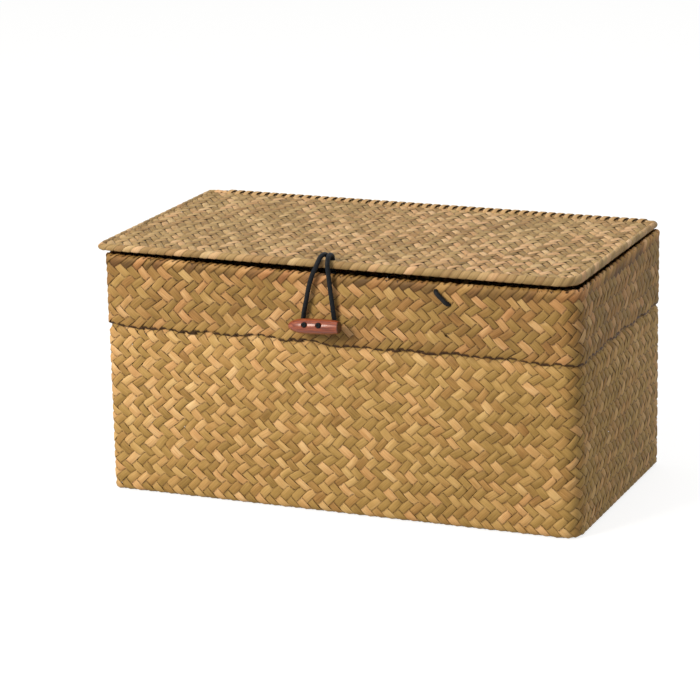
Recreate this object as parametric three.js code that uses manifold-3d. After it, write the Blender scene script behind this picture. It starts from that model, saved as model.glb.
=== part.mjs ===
// A lidded box plaited from dried seagrass: a plaited body whose strips fold over the rim into
// an outer cuff, a flat lid with a rolled border laced along the back, and an elastic cord loop
// that hooks behind a wooden toggle. Millimetres, +Z up, front towards -Y, origin at the middle
// of the underside.
import * as THREE from 'three';
import * as BufferGeometryUtils from 'three/addons/utils/BufferGeometryUtils.js';
import Module from 'manifold-3d';

const wasm = await Module();
wasm.setup();

// Body of the box, measured over the cuff
const boxLength = 380;
const boxDepth = 202;
const rimHeight = 190.4;
const frontLeftRadius = 8;
const frontRightRadius = 18;
const backRightRadius = 14;
const backLeftRadius = 12;
const smallestRadius = 1.5;

// The two plaited layers of the wall
const wallThickness = 2.4;
const baseThickness = 2.8;
const baseEdgeRadius = 7;
const wallBulge = 1.6;
const cuffThickness = 2;
const cuffDepth = 58;
const cuffTaper = 4;

// Rim and border folds
const stripPitch = 8.4;
const rimFoldHeight = 7;
const rimShoulder = 1.5;
const foldRelief = 0.45;
const rimLeanShare = 0.9;
const borderLeanShare = 0.6;

// How far the hand-made rim and lid stray from level
const frontCornerDrop = 1.9;
const frontSag = 1.8;
const lidLift = 1.7;

// Lid, which sits a little to the left of the box
const lidLeftOverhang = 3.5;
const lidRightSetback = 1.7;
const lidFrontOverhang = 1.45;
const lidCornerRadius = 11;
const lidFrontRightRadius = 16;
const borderDiameter = 5.6;
const panelThickness = 3.2;
const panelRise = 1.3;

// Lacing that hinges the lid
const lacingTurns = 24;
const lacingWidth = 3.4;
const lacingThickness = 1.2;
const lacingSetback = 2.2;
const lacingDrop = 4.5;
const lacingEndMargin = 6;
const lacingStartShare = 0.25;
const slotClearance = 0.35;

// Elastic latch loop
const loopDiameter = 3.2;
const loopX = -6.4;
const loopSetback = 11.4;
const loopStrandSpacing = 3.6;
const loopKnotRadius = 4.8;
const loopKnotHeight = 6;

// Toggle and the doubled cord that holds it to the wall
const toggleLength = 40.5;
const toggleDiameter = 11.6;
const toggleTipDiameter = 4.4;
const toggleEndDiameter = 9.4;
const toggleEndFillet = 0.6;
const toggleX = -11.4;
const toggleHoleHeight = 150;
const toggleStandoff = 6.2;
const toggleTiltDegrees = 2.7;
const toggleRollDegrees = 24;
const toggleHoleSpacing = 11.4;
const toggleHoleDiameter = 3.3;
const toggleSinkDiameter = 5.4;
const toggleSinkDepth = 1.3;
const toggleCordDiameter = 2.6;
const toggleKnotRadius = 4.4;
const toggleKnotHeight = 6;

// Cord stitch through the front wall
const stitchUpperX = 81.5;
const stitchUpperHeight = 180.4;
const stitchLowerX = 91;
const stitchLowerHeight = 171.5;
const stitchKnotRadius = 3.2;
const stitchKnotHeight = 4.6;

// Clearances shared by all the pieces
const fitGap = 0.3;
const cutOverrun = 1;

// Steps round the outlines, and sides of the round pieces and holes
const sideSteps = [6, 4, 6, 4];
const cornerSteps = 4;
const cordSides = 8;
const knotSides = 10;
const stitchHoleSides = 10;
const toggleHoleSides = 12;
const roundSides = 16;

// Sizes that follow from the ones above
const layersThickness = cuffThickness + fitGap + wallThickness;
const bodyInset = cuffThickness + fitGap;
const cuffEdgeHeight = rimHeight - cuffDepth;
const wallTopHeight = rimHeight - rimFoldHeight - fitGap;
const frontFaceY = -boxDepth / 2;
const innerFrontY = frontFaceY + layersThickness;
const lidLength = boxLength + lidLeftOverhang - lidRightSetback;
const lidDepth = boxDepth + 2 * lidFrontOverhang;
const lidShift = -(lidLeftOverhang + lidRightSetback) / 2;
const lidUnderside = rimHeight + fitGap;
const lidFrontY = -lidDepth / 2;
const lidBackY = lidDepth / 2;
const borderTop = lidUnderside + borderDiameter;
const panelUnderside = lidUnderside + panelRise;
const panelTop = panelUnderside + panelThickness;

const clamp01 = (value) => Math.min(1, Math.max(0, value));

// Outline of a rectangle with four round corners, as sides and arcs, anticlockwise from the
// left end of the front. Radii come in the order front right, back right, back left, front left.
function roundedOutline(length, depth, radii, centreX) {
  const signs = [[1, -1], [1, 1], [-1, 1], [-1, -1]];
  const corners = signs.map(([signX, signY], index) => ({
    x: centreX + signX * (length / 2 - radii[index]),
    y: signY * (depth / 2 - radii[index]),
    radius: radii[index],
    start: (index - 1) * Math.PI / 2,
  }));
  const segments = [];
  corners.forEach((corner, index) => {
    const before = corners[(index + 3) % 4];
    const nx = Math.cos(corner.start);
    const ny = Math.sin(corner.start);
    const from = [before.x + before.radius * nx, before.y + before.radius * ny];
    const to = [corner.x + corner.radius * nx, corner.y + corner.radius * ny];
    const sideLength = Math.hypot(to[0] - from[0], to[1] - from[1]);
    segments.push({ from, to, nx, ny, length: sideLength, steps: sideSteps[index] });
    segments.push({ corner, length: corner.radius * Math.PI / 2, steps: cornerSteps });
  });
  return segments;
}

// Point and outward direction at a share of one side or arc
function pointOnSegment(segment, share) {
  if (segment.corner) {
    const { x, y, radius, start } = segment.corner;
    const angle = start + share * Math.PI / 2;
    const nx = Math.cos(angle);
    const ny = Math.sin(angle);
    return { x: x + radius * nx, y: y + radius * ny, nx, ny };
  }
  const x = segment.from[0] + (segment.to[0] - segment.from[0]) * share;
  const y = segment.from[1] + (segment.to[1] - segment.from[1]) * share;
  return { x, y, nx: segment.nx, ny: segment.ny };
}

const outlineLength = (outline) => outline.reduce((sum, segment) => sum + segment.length, 0);

// Point and outward direction at a distance round the outline
function pointAtDistance(outline, distance) {
  const total = outlineLength(outline);
  let left = ((distance % total) + total) % total;
  for (const segment of outline) {
    if (left <= segment.length) {
      return pointOnSegment(segment, left / segment.length);
    }
    left -= segment.length;
  }
  return pointOnSegment(outline[0], 0);
}

// One row of points round the outline at a height
function outlineRow(outline, height) {
  const row = [];
  for (const segment of outline) {
    for (let step = 0; step < segment.steps; step += 1) {
      const { x, y } = pointOnSegment(segment, step / segment.steps);
      row.push([x, y, height]);
    }
  }
  return row;
}

const boxRadii = [frontRightRadius, backRightRadius, backLeftRadius, frontLeftRadius];
const lidRadii = [lidFrontRightRadius, lidCornerRadius, lidCornerRadius, lidCornerRadius];
const insetRadii = (radii, inset) => radii.map((r) => Math.max(r - inset, smallestRadius));

function boxRow(inset, height) {
  const outline = roundedOutline(
    boxLength - 2 * inset, boxDepth - 2 * inset, insetRadii(boxRadii, inset), 0);
  return outlineRow(outline, height);
}

function lidRow(inset, height) {
  const outline = roundedOutline(
    lidLength - 2 * inset, lidDepth - 2 * inset, insetRadii(lidRadii, inset), lidShift);
  return outlineRow(outline, height);
}

// Skins rows that each go once round the box. With two middle points the first and last rows
// close on them in a fan, and without any the last row joins the first, as in a band.
function skin(rows, middles) {
  const count = rows[0].length;
  const positions = rows.flat();
  const indices = [];
  const spans = middles ? rows.length - 1 : rows.length;
  for (let row = 0; row < spans; row += 1) {
    const below = row * count;
    const above = ((row + 1) % rows.length) * count;
    for (let step = 0; step < count; step += 1) {
      const next = (step + 1) % count;
      indices.push(below + step, below + next, above + next);
      indices.push(below + step, above + next, above + step);
    }
  }
  if (middles) {
    positions.push(...middles);
    const firstMiddle = rows.length * count;
    const lastRow = (rows.length - 1) * count;
    for (let step = 0; step < count; step += 1) {
      const next = (step + 1) % count;
      indices.push(firstMiddle, next, step);
      indices.push(firstMiddle + 1, lastRow + step, lastRow + next);
    }
  }
  const geometry = new THREE.BufferGeometry();
  geometry.setAttribute('position', new THREE.Float32BufferAttribute(positions.flat(), 3));
  geometry.setIndex(indices);
  return geometry;
}

// Joins and cuts
function toSolid(geometry) {
  const plain = geometry.clone();
  plain.deleteAttribute('normal');
  plain.deleteAttribute('uv');
  const merged = BufferGeometryUtils.mergeVertices(plain);
  const vertProperties = new Float32Array(merged.attributes.position.array);
  const triVerts = new Uint32Array(merged.index.array);
  return new wasm.Manifold(new wasm.Mesh({ numProp: 3, vertProperties, triVerts }));
}

function toGeometry(solid) {
  const { vertProperties, triVerts } = solid.getMesh();
  const geometry = new THREE.BufferGeometry();
  geometry.setAttribute('position', new THREE.Float32BufferAttribute(vertProperties, 3));
  geometry.setIndex(Array.from(triVerts));
  return geometry;
}

function joined(geometries) {
  return toGeometry(geometries.map(toSolid).reduce((all, solid) => all.add(solid)));
}

function cut(geometry, cutters) {
  return toGeometry(cutters.map(toSolid).reduce((left, cutter) => left.subtract(cutter),
    toSolid(geometry)));
}

// The hand-made shape: the lower walls bulge between the corners, and the rim of the front wall
// drops a little from the back and sags between its corners.
function settled(x, y, z) {
  const alongShare = Math.max(-1, Math.min(1, 2 * x / boxLength));
  const acrossShare = Math.max(-1, Math.min(1, 2 * y / boxDepth));
  const bulge = wallBulge * Math.sin(Math.PI * clamp01(z / cuffEdgeHeight));
  const frontShare = clamp01(0.5 - y / boxDepth);
  const drop = frontShare * (frontCornerDrop + frontSag * (1 - alongShare ** 2));
  const cuffShare = clamp01((z - cuffEdgeHeight) / cuffDepth);
  return [
    x + bulge * alongShare * (1 - acrossShare ** 2),
    y + bulge * acrossShare * (1 - alongShare ** 2),
    z - drop * cuffShare,
  ];
}

// The lid twists a little, with its front right corner the highest.
function lifted(x, y, z) {
  const rightShare = clamp01(0.5 + x / lidLength);
  const frontShare = clamp01(0.5 - y / lidDepth);
  return [x, y, z + lidLift * rightShare * frontShare];
}

function bent(geometry, warp) {
  const position = geometry.attributes.position;
  for (let i = 0; i < position.count; i += 1) {
    position.setXYZ(i, ...warp(position.getX(i), position.getY(i), position.getZ(i)));
  }
  return geometry;
}

// A round cord along hand-picked points
function cord(points, diameter, steps) {
  const section = new THREE.Shape();
  for (let side = 0; side < cordSides; side += 1) {
    const angle = 2 * Math.PI * side / cordSides;
    const place = [diameter / 2 * Math.cos(angle), diameter / 2 * Math.sin(angle)];
    if (side === 0) {
      section.moveTo(...place);
    } else {
      section.lineTo(...place);
    }
  }
  section.closePath();
  const route = points.map((point) => new THREE.Vector3(...point));
  const extrudePath = new THREE.CatmullRomCurve3(route, false, 'centripetal');
  return new THREE.ExtrudeGeometry(section, { steps, extrudePath, bevelEnabled: false });
}

// An overhand knot pulled tight: two turns of cord round one waist, along +Y from the origin
function knot(radius, height) {
  const radiusShares = [0, 0.62, 0.93, 1, 0.84, 1, 0.93, 0.62, 0];
  const heightShares = [0, 0, 0.12, 0.3, 0.5, 0.7, 0.88, 1, 1];
  const profile = radiusShares.map(
    (share, index) => new THREE.Vector2(share * radius, heightShares[index] * height));
  return new THREE.LatheGeometry(profile, knotSides);
}

const cylinder = (radius, height, sides) => new THREE.CylinderGeometry(radius, radius, height, sides);

// Lacing holes, a slot for each turn along the straight part of the back
const lacingSpan = boxLength - 2 * Math.max(backLeftRadius, backRightRadius) - 2 * lacingEndMargin;
const lacingPitch = lacingSpan / lacingTurns;
const lacingX = (turn) => -lacingSpan / 2 + lacingPitch * (turn + lacingStartShare);
const lacingLidY = lidBackY - borderDiameter - fitGap - lacingSetback;
const lacingWallHeight = wallTopHeight - lacingDrop;

function lacingSlot(turn, slotDepth, slotHeight) {
  return new THREE.BoxGeometry(lacingWidth + 2 * slotClearance, slotDepth, slotHeight)
    .translate(lacingX(turn), 0, 0);
}

function wallCutters() {
  const slotThickness = lacingThickness + 2 * slotClearance;
  const cutDepth = layersThickness + 2 * cutOverrun;
  const backMiddleY = boxDepth / 2 - layersThickness / 2;
  const cutters = [];
  for (let turn = 1; turn <= lacingTurns; turn += 1) {
    const slot = lacingSlot(turn, cutDepth, slotThickness);
    cutters.push(slot.translate(0, backMiddleY, lacingWallHeight));
  }
  const frontMiddleY = frontFaceY + layersThickness / 2;
  const toggleShankRadius = toggleCordDiameter + fitGap;
  cutters.push(cylinder(toggleShankRadius + slotClearance, cutDepth, roundSides)
    .translate(toggleX, frontMiddleY, toggleHoleHeight));
  const stitchHoleRadius = loopDiameter / 2 + slotClearance;
  const stitchHoles = [[stitchUpperX, stitchUpperHeight], [stitchLowerX, stitchLowerHeight]];
  for (const [x, height] of stitchHoles) {
    cutters.push(cylinder(stitchHoleRadius, cutDepth, stitchHoleSides)
      .translate(x, frontMiddleY, height));
  }
  return cutters;
}

// Quarter round between two insets and two heights, for the soft edge of the base
function edgeRows(insetAtWall, radius, lowest, steps, rising) {
  const rows = [];
  for (let step = 0; step <= steps; step += 1) {
    const angle = (rising ? step : steps - step) / steps * Math.PI / 2;
    const inset = insetAtWall + radius * (1 - Math.sin(angle));
    rows.push(boxRow(inset, lowest + radius * (1 - Math.cos(angle))));
  }
  return rows;
}

// Base and walls, plaited in one piece
function plaitedBody() {
  const outerEdgeSteps = 3;
  const innerEdgeSteps = 2;
  const innerInset = bodyInset + wallThickness;
  const innerRadius = Math.max(baseEdgeRadius - wallThickness, smallestRadius);
  const heightShares = [0.25, 0.5, 0.75, 1];
  const heights = heightShares.map(
    (share) => baseEdgeRadius + share * (cuffEdgeHeight - baseEdgeRadius));
  heights.push(wallTopHeight);
  const outside = heights.map((height) => boxRow(bodyInset, height));
  const inside = heights.map((height) => boxRow(innerInset, height)).reverse();
  const rows = [
    ...edgeRows(bodyInset, baseEdgeRadius, 0, outerEdgeSteps, true),
    ...outside,
    ...inside,
    ...edgeRows(innerInset, innerRadius, baseThickness, innerEdgeSteps, false),
  ];
  const body = skin(rows, [[0, 0, 0], [0, 0, baseThickness]]);
  return bent(cut(body, wallCutters()), settled);
}

// Strips folded over the rim and plaited back down as a second layer, thinned at its lower edge
function foldedCuff() {
  const tuckedShare = 0.6;
  const rows = [
    boxRow(cuffThickness * tuckedShare, cuffEdgeHeight),
    boxRow(0, cuffEdgeHeight + cuffTaper),
    boxRow(0, wallTopHeight),
    boxRow(cuffThickness, wallTopHeight),
    boxRow(cuffThickness, cuffEdgeHeight),
  ];
  return bent(cut(skin(rows), wallCutters()), settled);
}

// A band of strips folded one over the next: each fold starts proud and tucks under its
// neighbour, and the folds lean along the band as they go round its section.
function foldedBand(outline, section, leanShare) {
  const folds = Math.round(outlineLength(outline) / stripPitch);
  const stride = outlineLength(outline) / folds;
  const tuckShare = 0.8;
  const rows = section.map(() => []);
  for (let fold = 0; fold < folds; fold += 1) {
    for (const [share, proud] of [[0, foldRelief], [tuckShare, 0]]) {
      section.forEach((point, index) => {
        const distance = (fold + share) * stride + leanShare * point.along;
        const station = pointAtDistance(outline, distance);
        const out = proud * point.out - point.inset;
        const height = point.height + proud * point.up;
        rows[index].push([station.x + station.nx * out, station.y + station.ny * out, height]);
      });
    }
  }
  return skin(rows);
}

// Adds to each point of a section its distance along the section
function withAlong(section) {
  let along = 0;
  return section.map((point, index) => {
    const before = section[Math.max(index - 1, 0)];
    along += Math.hypot(point.inset - before.inset, point.height - before.height);
    return { ...point, along };
  });
}

// Top of the wall, where the strips turn over
function rimFolds() {
  const top = rimHeight - foldRelief;
  const foot = rimHeight - rimFoldHeight;
  const section = withAlong([
    { inset: 0, height: foot, out: 1, up: 0 },
    { inset: 0, height: top - rimShoulder, out: 1, up: 0 },
    { inset: rimShoulder, height: top, out: 0, up: 1 },
    { inset: layersThickness - rimShoulder, height: top, out: 0, up: 1 },
    { inset: layersThickness, height: top - rimShoulder, out: 0, up: 0 },
    { inset: layersThickness, height: foot, out: 0, up: 0 },
  ]);
  const outline = roundedOutline(boxLength, boxDepth, boxRadii, 0);
  return bent(foldedBand(outline, section, rimLeanShare), settled);
}

// Rolled edge of the lid
function lidBorder() {
  const sides = 6;
  const radius = borderDiameter / 2 - foldRelief;
  const middleHeight = lidUnderside + borderDiameter / 2;
  const section = [];
  for (let side = 0; side < sides; side += 1) {
    const angle = -Math.PI / 2 + (side + 0.5) * 2 * Math.PI / sides;
    const out = Math.cos(angle);
    const up = Math.sin(angle);
    const inset = borderDiameter / 2 - radius * out;
    section.push({ inset, height: middleHeight + radius * up, out, up });
  }
  const outline = roundedOutline(lidLength, lidDepth, lidRadii, lidShift);
  return bent(foldedBand(outline, withAlong(section), borderLeanShare), lifted);
}

// Flat plaited part of the lid, with the lacing slots and the hole for the latch loop
function lidPanel() {
  const edgeInset = borderDiameter + fitGap;
  const spreadShares = [0, 0.35, 0.7];
  const widest = lidDepth / 2 - edgeInset;
  const insets = spreadShares.map((share) => edgeInset + share * widest);
  const under = [...insets].reverse().map((inset) => lidRow(inset, panelUnderside));
  const over = insets.map((inset) => lidRow(inset, panelTop));
  const panel = skin([...under, ...over],
    [[lidShift, 0, panelUnderside], [lidShift, 0, panelTop]]);
  const cutHeight = panelThickness + 2 * cutOverrun;
  const middleHeight = panelUnderside + panelThickness / 2;
  const cutters = [];
  for (let turn = 0; turn < lacingTurns; turn += 1) {
    const slot = lacingSlot(turn, lacingThickness + 2 * slotClearance, cutHeight);
    cutters.push(slot.translate(0, lacingLidY, middleHeight));
  }
  const loopHoleRadius = loopStrandSpacing / 2 + loopDiameter / 2 + slotClearance;
  cutters.push(cylinder(loopHoleRadius, cutHeight, roundSides).rotateX(Math.PI / 2)
    .translate(loopX, lidFrontY + loopSetback, middleHeight));
  return bent(cut(panel, cutters), lifted);
}

// One flat strand whipped round the back border and through the wall below the rim
function lacingRoute() {
  const turnInShare = 1.2;
  const turnIn = turnInShare * lacingThickness;
  const innerY = lacingLidY;
  const outerY = lidBackY + foldRelief + fitGap + lacingThickness / 2;
  const topHeight = borderTop + fitGap + lacingThickness / 2;
  const lowHeight = lacingWallHeight;
  const route = [];
  for (let turn = 0; turn < lacingTurns; turn += 1) {
    const x = lacingX(turn);
    const middle = x + lacingPitch / 2;
    const next = x + lacingPitch;
    route.push([x, innerY, lowHeight + turnIn], [x, innerY, topHeight - turnIn]);
    route.push([x, innerY + turnIn, topHeight]);
    route.push([middle, outerY - turnIn, topHeight], [middle, outerY, topHeight - turnIn]);
    route.push([next, outerY, lowHeight + turnIn], [next, outerY - turnIn, lowHeight]);
    route.push([next, innerY + turnIn, lowHeight]);
  }
  return route;
}

// The four edge points of a flat strand at each point of a route that winds round the X axis
function strandRows(route, width, thickness) {
  return route.map((point, index) => {
    const before = route[Math.max(index - 1, 0)];
    const after = route[Math.min(index + 1, route.length - 1)];
    const run = new THREE.Vector3(...after).sub(new THREE.Vector3(...before)).normalize();
    const outward = new THREE.Vector3(0, -run.z, run.y).normalize();
    const side = new THREE.Vector3().crossVectors(run, outward).normalize();
    const corners = [[-1, -1], [-1, 1], [1, 1], [1, -1]];
    return corners.map(([across, through]) => new THREE.Vector3(...point)
      .addScaledVector(side, across * width / 2)
      .addScaledVector(outward, through * thickness / 2)
      .toArray());
  });
}

// Least distance between the strand's edges and those of its own later turns, on points set
// closely along each edge
function leastGapToItself(rows, rowsInTurn) {
  const pointsBetween = 4;
  const points = [];
  for (let index = 0; index < rows.length - 1; index += 1) {
    for (let step = 0; step < pointsBetween; step += 1) {
      rows[index].forEach((corner, edge) => {
        const next = new THREE.Vector3(...rows[index + 1][edge]);
        points.push(new THREE.Vector3(...corner).lerp(next, step / pointsBetween));
      });
    }
  }
  const pointsInTurn = rowsInTurn * pointsBetween * rows[0].length;
  const nearestShare = 0.6;
  const furthestShare = 2;
  let least = Infinity;
  points.forEach((point, index) => {
    const from = index + Math.ceil(nearestShare * pointsInTurn);
    const to = index + Math.ceil(furthestShare * pointsInTurn);
    for (const later of points.slice(from, to)) {
      least = Math.min(least, point.distanceTo(later));
    }
  });
  return least;
}

// Lacing that hinges the lid, in one strand
function hingeLacing() {
  const route = lacingRoute();
  const rows = strandRows(route, lacingWidth, lacingThickness);
  const gap = leastGapToItself(rows, route.length / lacingTurns);
  console.log(`hinge_lacing: least gap to itself ${gap.toFixed(2)} mm`);
  return skin(rows, [route[0], route[route.length - 1]]);
}

// Elastic loop: up out of the lid, over its edge, down the wall, round behind the toggle and back.
// These points are the cord's own route, picked by hand.
const loopRoute = [
  [-8.2, -91.1, 196.7], [-8.4, -92.6, 198.2], [-8.7, -95.0, 199.5], [-9.2, -98.4, 200.0],
  [-9.9, -102.2, 198.7], [-10.9, -104.8, 195.4], [-12.4, -105.2, 191.6], [-14.4, -105.1, 188.0],
  [-17.9, -104.8, 178.5], [-21.2, -104.3, 165.0], [-23.6, -103.8, 154.4], [-24.0, -103.6, 149.6],
  [-22.1, -103.6, 145.1], [-17.6, -103.6, 143.2], [-11.4, -103.6, 143.2], [-5.2, -103.6, 143.2],
  [-0.7, -103.6, 145.1], [1.2, -103.6, 149.6], [0.8, -103.8, 154.4], [-0.5, -104.3, 167.0],
  [-1.8, -104.8, 180.0], [-2.6, -105.1, 188.6], [-2.9, -105.2, 191.8], [-3.2, -104.8, 195.4],
  [-3.6, -102.2, 198.7], [-4.1, -98.4, 200.0], [-4.4, -95.0, 199.5], [-4.5, -92.6, 198.2],
  [-4.6, -91.1, 196.7],
];
const loopSteps = 46;
const latchLoop = () => cord(loopRoute, loopDiameter, loopSteps);

// Knot under the lid with the two ends of the loop that come up through the hole
function loopKnot() {
  const sunkShare = 1 / 3;
  const y = lidFrontY + loopSetback;
  const knotTop = lifted(loopX, y, panelUnderside)[2] - fitGap;
  const endTop = lifted(loopX, y, panelTop)[2] - sunkShare * loopDiameter;
  const endLength = endTop - knotTop + cutOverrun;
  const parts = [
    knot(loopKnotRadius, loopKnotHeight).rotateX(Math.PI / 2)
      .translate(loopX, y, knotTop - loopKnotHeight),
  ];
  for (const side of [-1, 1]) {
    parts.push(cylinder(loopDiameter / 2, endLength, cordSides).rotateX(Math.PI / 2)
      .translate(loopX + side * loopStrandSpacing / 2, y, endTop - endLength / 2));
  }
  return joined(parts);
}

// Where the toggle sits: its middle stands off the wall in line with the cord's hole
const [, , toggleHeight] = settled(toggleX, frontFaceY, toggleHoleHeight);
const toggleY = frontFaceY - toggleStandoff - toggleDiameter / 2;
const toggleFrame = new THREE.Object3D();
toggleFrame.position.set(toggleX, toggleY, toggleHeight);
toggleFrame.rotation.order = 'YXZ';
toggleFrame.rotation.set(
  -THREE.MathUtils.degToRad(toggleRollDegrees), -THREE.MathUtils.degToRad(toggleTiltDegrees), 0);
toggleFrame.updateMatrixWorld(true);

// Turned barrel with a blunt tip on the left and a flat cut end on the right
function toggleBarrel() {
  const half = toggleLength / 2;
  const steps = 6;
  const tipFullness = 4;
  const endFullness = 2.8;
  const profile = [new THREE.Vector2(0, -half)];
  for (let step = -steps; step <= steps; step += 1) {
    const share = step / steps;
    const endDiameter = share < 0 ? toggleTipDiameter : toggleEndDiameter;
    const fullness = share < 0 ? tipFullness : endFullness;
    const diameter = toggleDiameter - (toggleDiameter - endDiameter) * Math.abs(share) ** fullness;
    const fillet = Math.abs(share) === 1 ? toggleEndFillet : 0;
    profile.push(new THREE.Vector2(diameter / 2, share * half - Math.sign(share) * fillet));
  }
  profile.push(new THREE.Vector2(toggleEndDiameter / 2 - toggleEndFillet, half));
  profile.splice(1, 0, new THREE.Vector2(toggleTipDiameter / 2 - toggleEndFillet, -half));
  profile.push(new THREE.Vector2(0, half));
  return new THREE.LatheGeometry(profile, roundSides).rotateZ(-Math.PI / 2);
}

// Toggle with its two countersunk cord holes
function toggle() {
  const cutters = [];
  for (const side of [-1, 1]) {
    const x = side * toggleHoleSpacing / 2;
    const holeRadius = toggleHoleDiameter / 2;
    cutters.push(cylinder(holeRadius, toggleDiameter + 2 * cutOverrun, toggleHoleSides)
      .translate(x, 0, 0));
    const sinkHeight = toggleSinkDepth + cutOverrun;
    const overrunRadius = toggleSinkDiameter / 2
      + cutOverrun * (toggleSinkDiameter - toggleHoleDiameter) / 2 / toggleSinkDepth;
    const sink = new THREE.CylinderGeometry(holeRadius, overrunRadius, sinkHeight, toggleHoleSides);
    cutters.push(sink.translate(x, -toggleDiameter / 2 + toggleSinkDepth - sinkHeight / 2, 0));
  }
  return cut(toggleBarrel(), cutters);
}

// Doubled cord: from the toggle's two holes, together through the wall, into a knot inside
function toggleCord() {
  const cordSteps = 14;
  const straightShares = [-0.75, -0.4, 0, 0.4, 0.75, 1, 1.2];
  const convergingShare = 1.5;
  const sagShare = 0.25;
  const strandX = (toggleCordDiameter + fitGap) / 2;
  const knotFaceY = innerFrontY + fitGap;
  const parts = [];
  for (const side of [-1, 1]) {
    const hole = (y) => toggleFrame.localToWorld(
      new THREE.Vector3(side * toggleHoleSpacing / 2, y, 0)).toArray();
    const behindY = toggleY + toggleDiameter / 2 + toggleCordDiameter;
    const behindX = toggleX + side * strandX * convergingShare;
    const route = [
      ...straightShares.map((share) => hole(share * toggleDiameter / 2)),
      [behindX, behindY, toggleHeight - sagShare * toggleCordDiameter],
      [toggleX + side * strandX, frontFaceY - fitGap, toggleHeight],
      [toggleX + side * strandX, knotFaceY + cutOverrun, toggleHeight],
    ];
    parts.push(cord(route, toggleCordDiameter, cordSteps));
  }
  parts.push(knot(toggleKnotRadius, toggleKnotHeight).translate(toggleX, knotFaceY, toggleHeight));
  return joined(parts);
}

// Knotted cord end, drawn into the countersink
function toggleKnot() {
  const crownWidthShare = 0.8;
  const crownEdgeShare = 0.25;
  const crownTopShare = 1 / 3;
  const capHeight = toggleSinkDepth - fitGap;
  const capRadius = toggleSinkDiameter / 2 - fitGap;
  const stemRadius = toggleCordDiameter / 2;
  const profile = [
    new THREE.Vector2(0, 0),
    new THREE.Vector2(stemRadius, 0),
    new THREE.Vector2(capRadius, capHeight),
    new THREE.Vector2(crownWidthShare * capRadius, capHeight + crownEdgeShare * toggleCordDiameter),
    new THREE.Vector2(0, capHeight + crownTopShare * toggleCordDiameter),
  ];
  return new THREE.LatheGeometry(profile, toggleHoleSides).rotateX(Math.PI);
}

// Stitch: a staple of cord through both layers of the front wall, knotted inside
function frontStitch() {
  const stitchSteps = 16;
  const bendShare = 0.12;
  const outsideY = frontFaceY - fitGap - loopDiameter / 2;
  const insideY = innerFrontY + fitGap;
  const [upX, upZ, lowX, lowZ] = [stitchUpperX, stitchUpperHeight, stitchLowerX, stitchLowerHeight];
  const at = (share, y) => [upX + (lowX - upX) * share, y, upZ + (lowZ - upZ) * share];
  const route = [
    at(0, insideY), at(0, frontFaceY + fitGap), at(bendShare, outsideY), at(0.5, outsideY),
    at(1 - bendShare, outsideY), at(1, frontFaceY + fitGap), at(1, insideY),
  ];
  return bent(cord(route, loopDiameter, stitchSteps), settled);
}

function stitchKnot(x, height) {
  const place = settled(x, innerFrontY, height);
  return knot(stitchKnotRadius, stitchKnotHeight)
    .translate(place[0], place[1] + 2 * fitGap, place[2]);
}

// Finishes: colour, roughness
function finish(colour, roughness) {
  return new THREE.MeshStandardMaterial({ color: colour, roughness, metalness: 0 });
}

const wallGrass = finish(0xb98f52, 0.75);
const lidGrass = finish(0xa98c60, 0.78);
const foldGrass = finish(0xb08450, 0.72);
const blackCord = finish(0x15171c, 0.85);
const redWood = finish(0x9c4226, 0.35);

const box = new THREE.Group();
function add(name, geometry, material, parent = box) {
  const mesh = new THREE.Mesh(geometry, material);
  mesh.name = name;
  parent.add(mesh);
  return mesh;
}

add('plaited_body', plaitedBody(), wallGrass);
add('folded_cuff', foldedCuff(), wallGrass);
add('rim_folds', rimFolds(), foldGrass);
add('front_stitch', frontStitch(), blackCord);
add('stitch_knot_upper', stitchKnot(stitchUpperX, stitchUpperHeight), blackCord);
add('stitch_knot_lower', stitchKnot(stitchLowerX, stitchLowerHeight), blackCord);
add('lid_panel', lidPanel(), lidGrass);
add('lid_border', lidBorder(), foldGrass);
add('hinge_lacing', hingeLacing(), foldGrass);
add('latch_loop', latchLoop(), blackCord);
add('loop_knot', loopKnot(), blackCord);
add('toggle_cord', toggleCord(), blackCord);

const toggleGroup = new THREE.Group();
toggleGroup.position.copy(toggleFrame.position);
toggleGroup.rotation.copy(toggleFrame.rotation);
box.add(toggleGroup);
add('toggle', toggle(), redWood, toggleGroup);
for (const [name, side] of [['toggle_knot_left', -1], ['toggle_knot_right', 1]]) {
  const mesh = add(name, toggleKnot(), blackCord, toggleGroup);
  mesh.position.set(side * toggleHoleSpacing / 2, -toggleDiameter / 2 + toggleSinkDepth - fitGap, 0);
}

export default box;
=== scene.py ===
"""A lidded box plaited from dried seagrass, with a laced lid, elastic loop and wooden toggle."""

import math

import bmesh
import bpy
import numpy as np
from mathutils import Matrix, Vector


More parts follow.
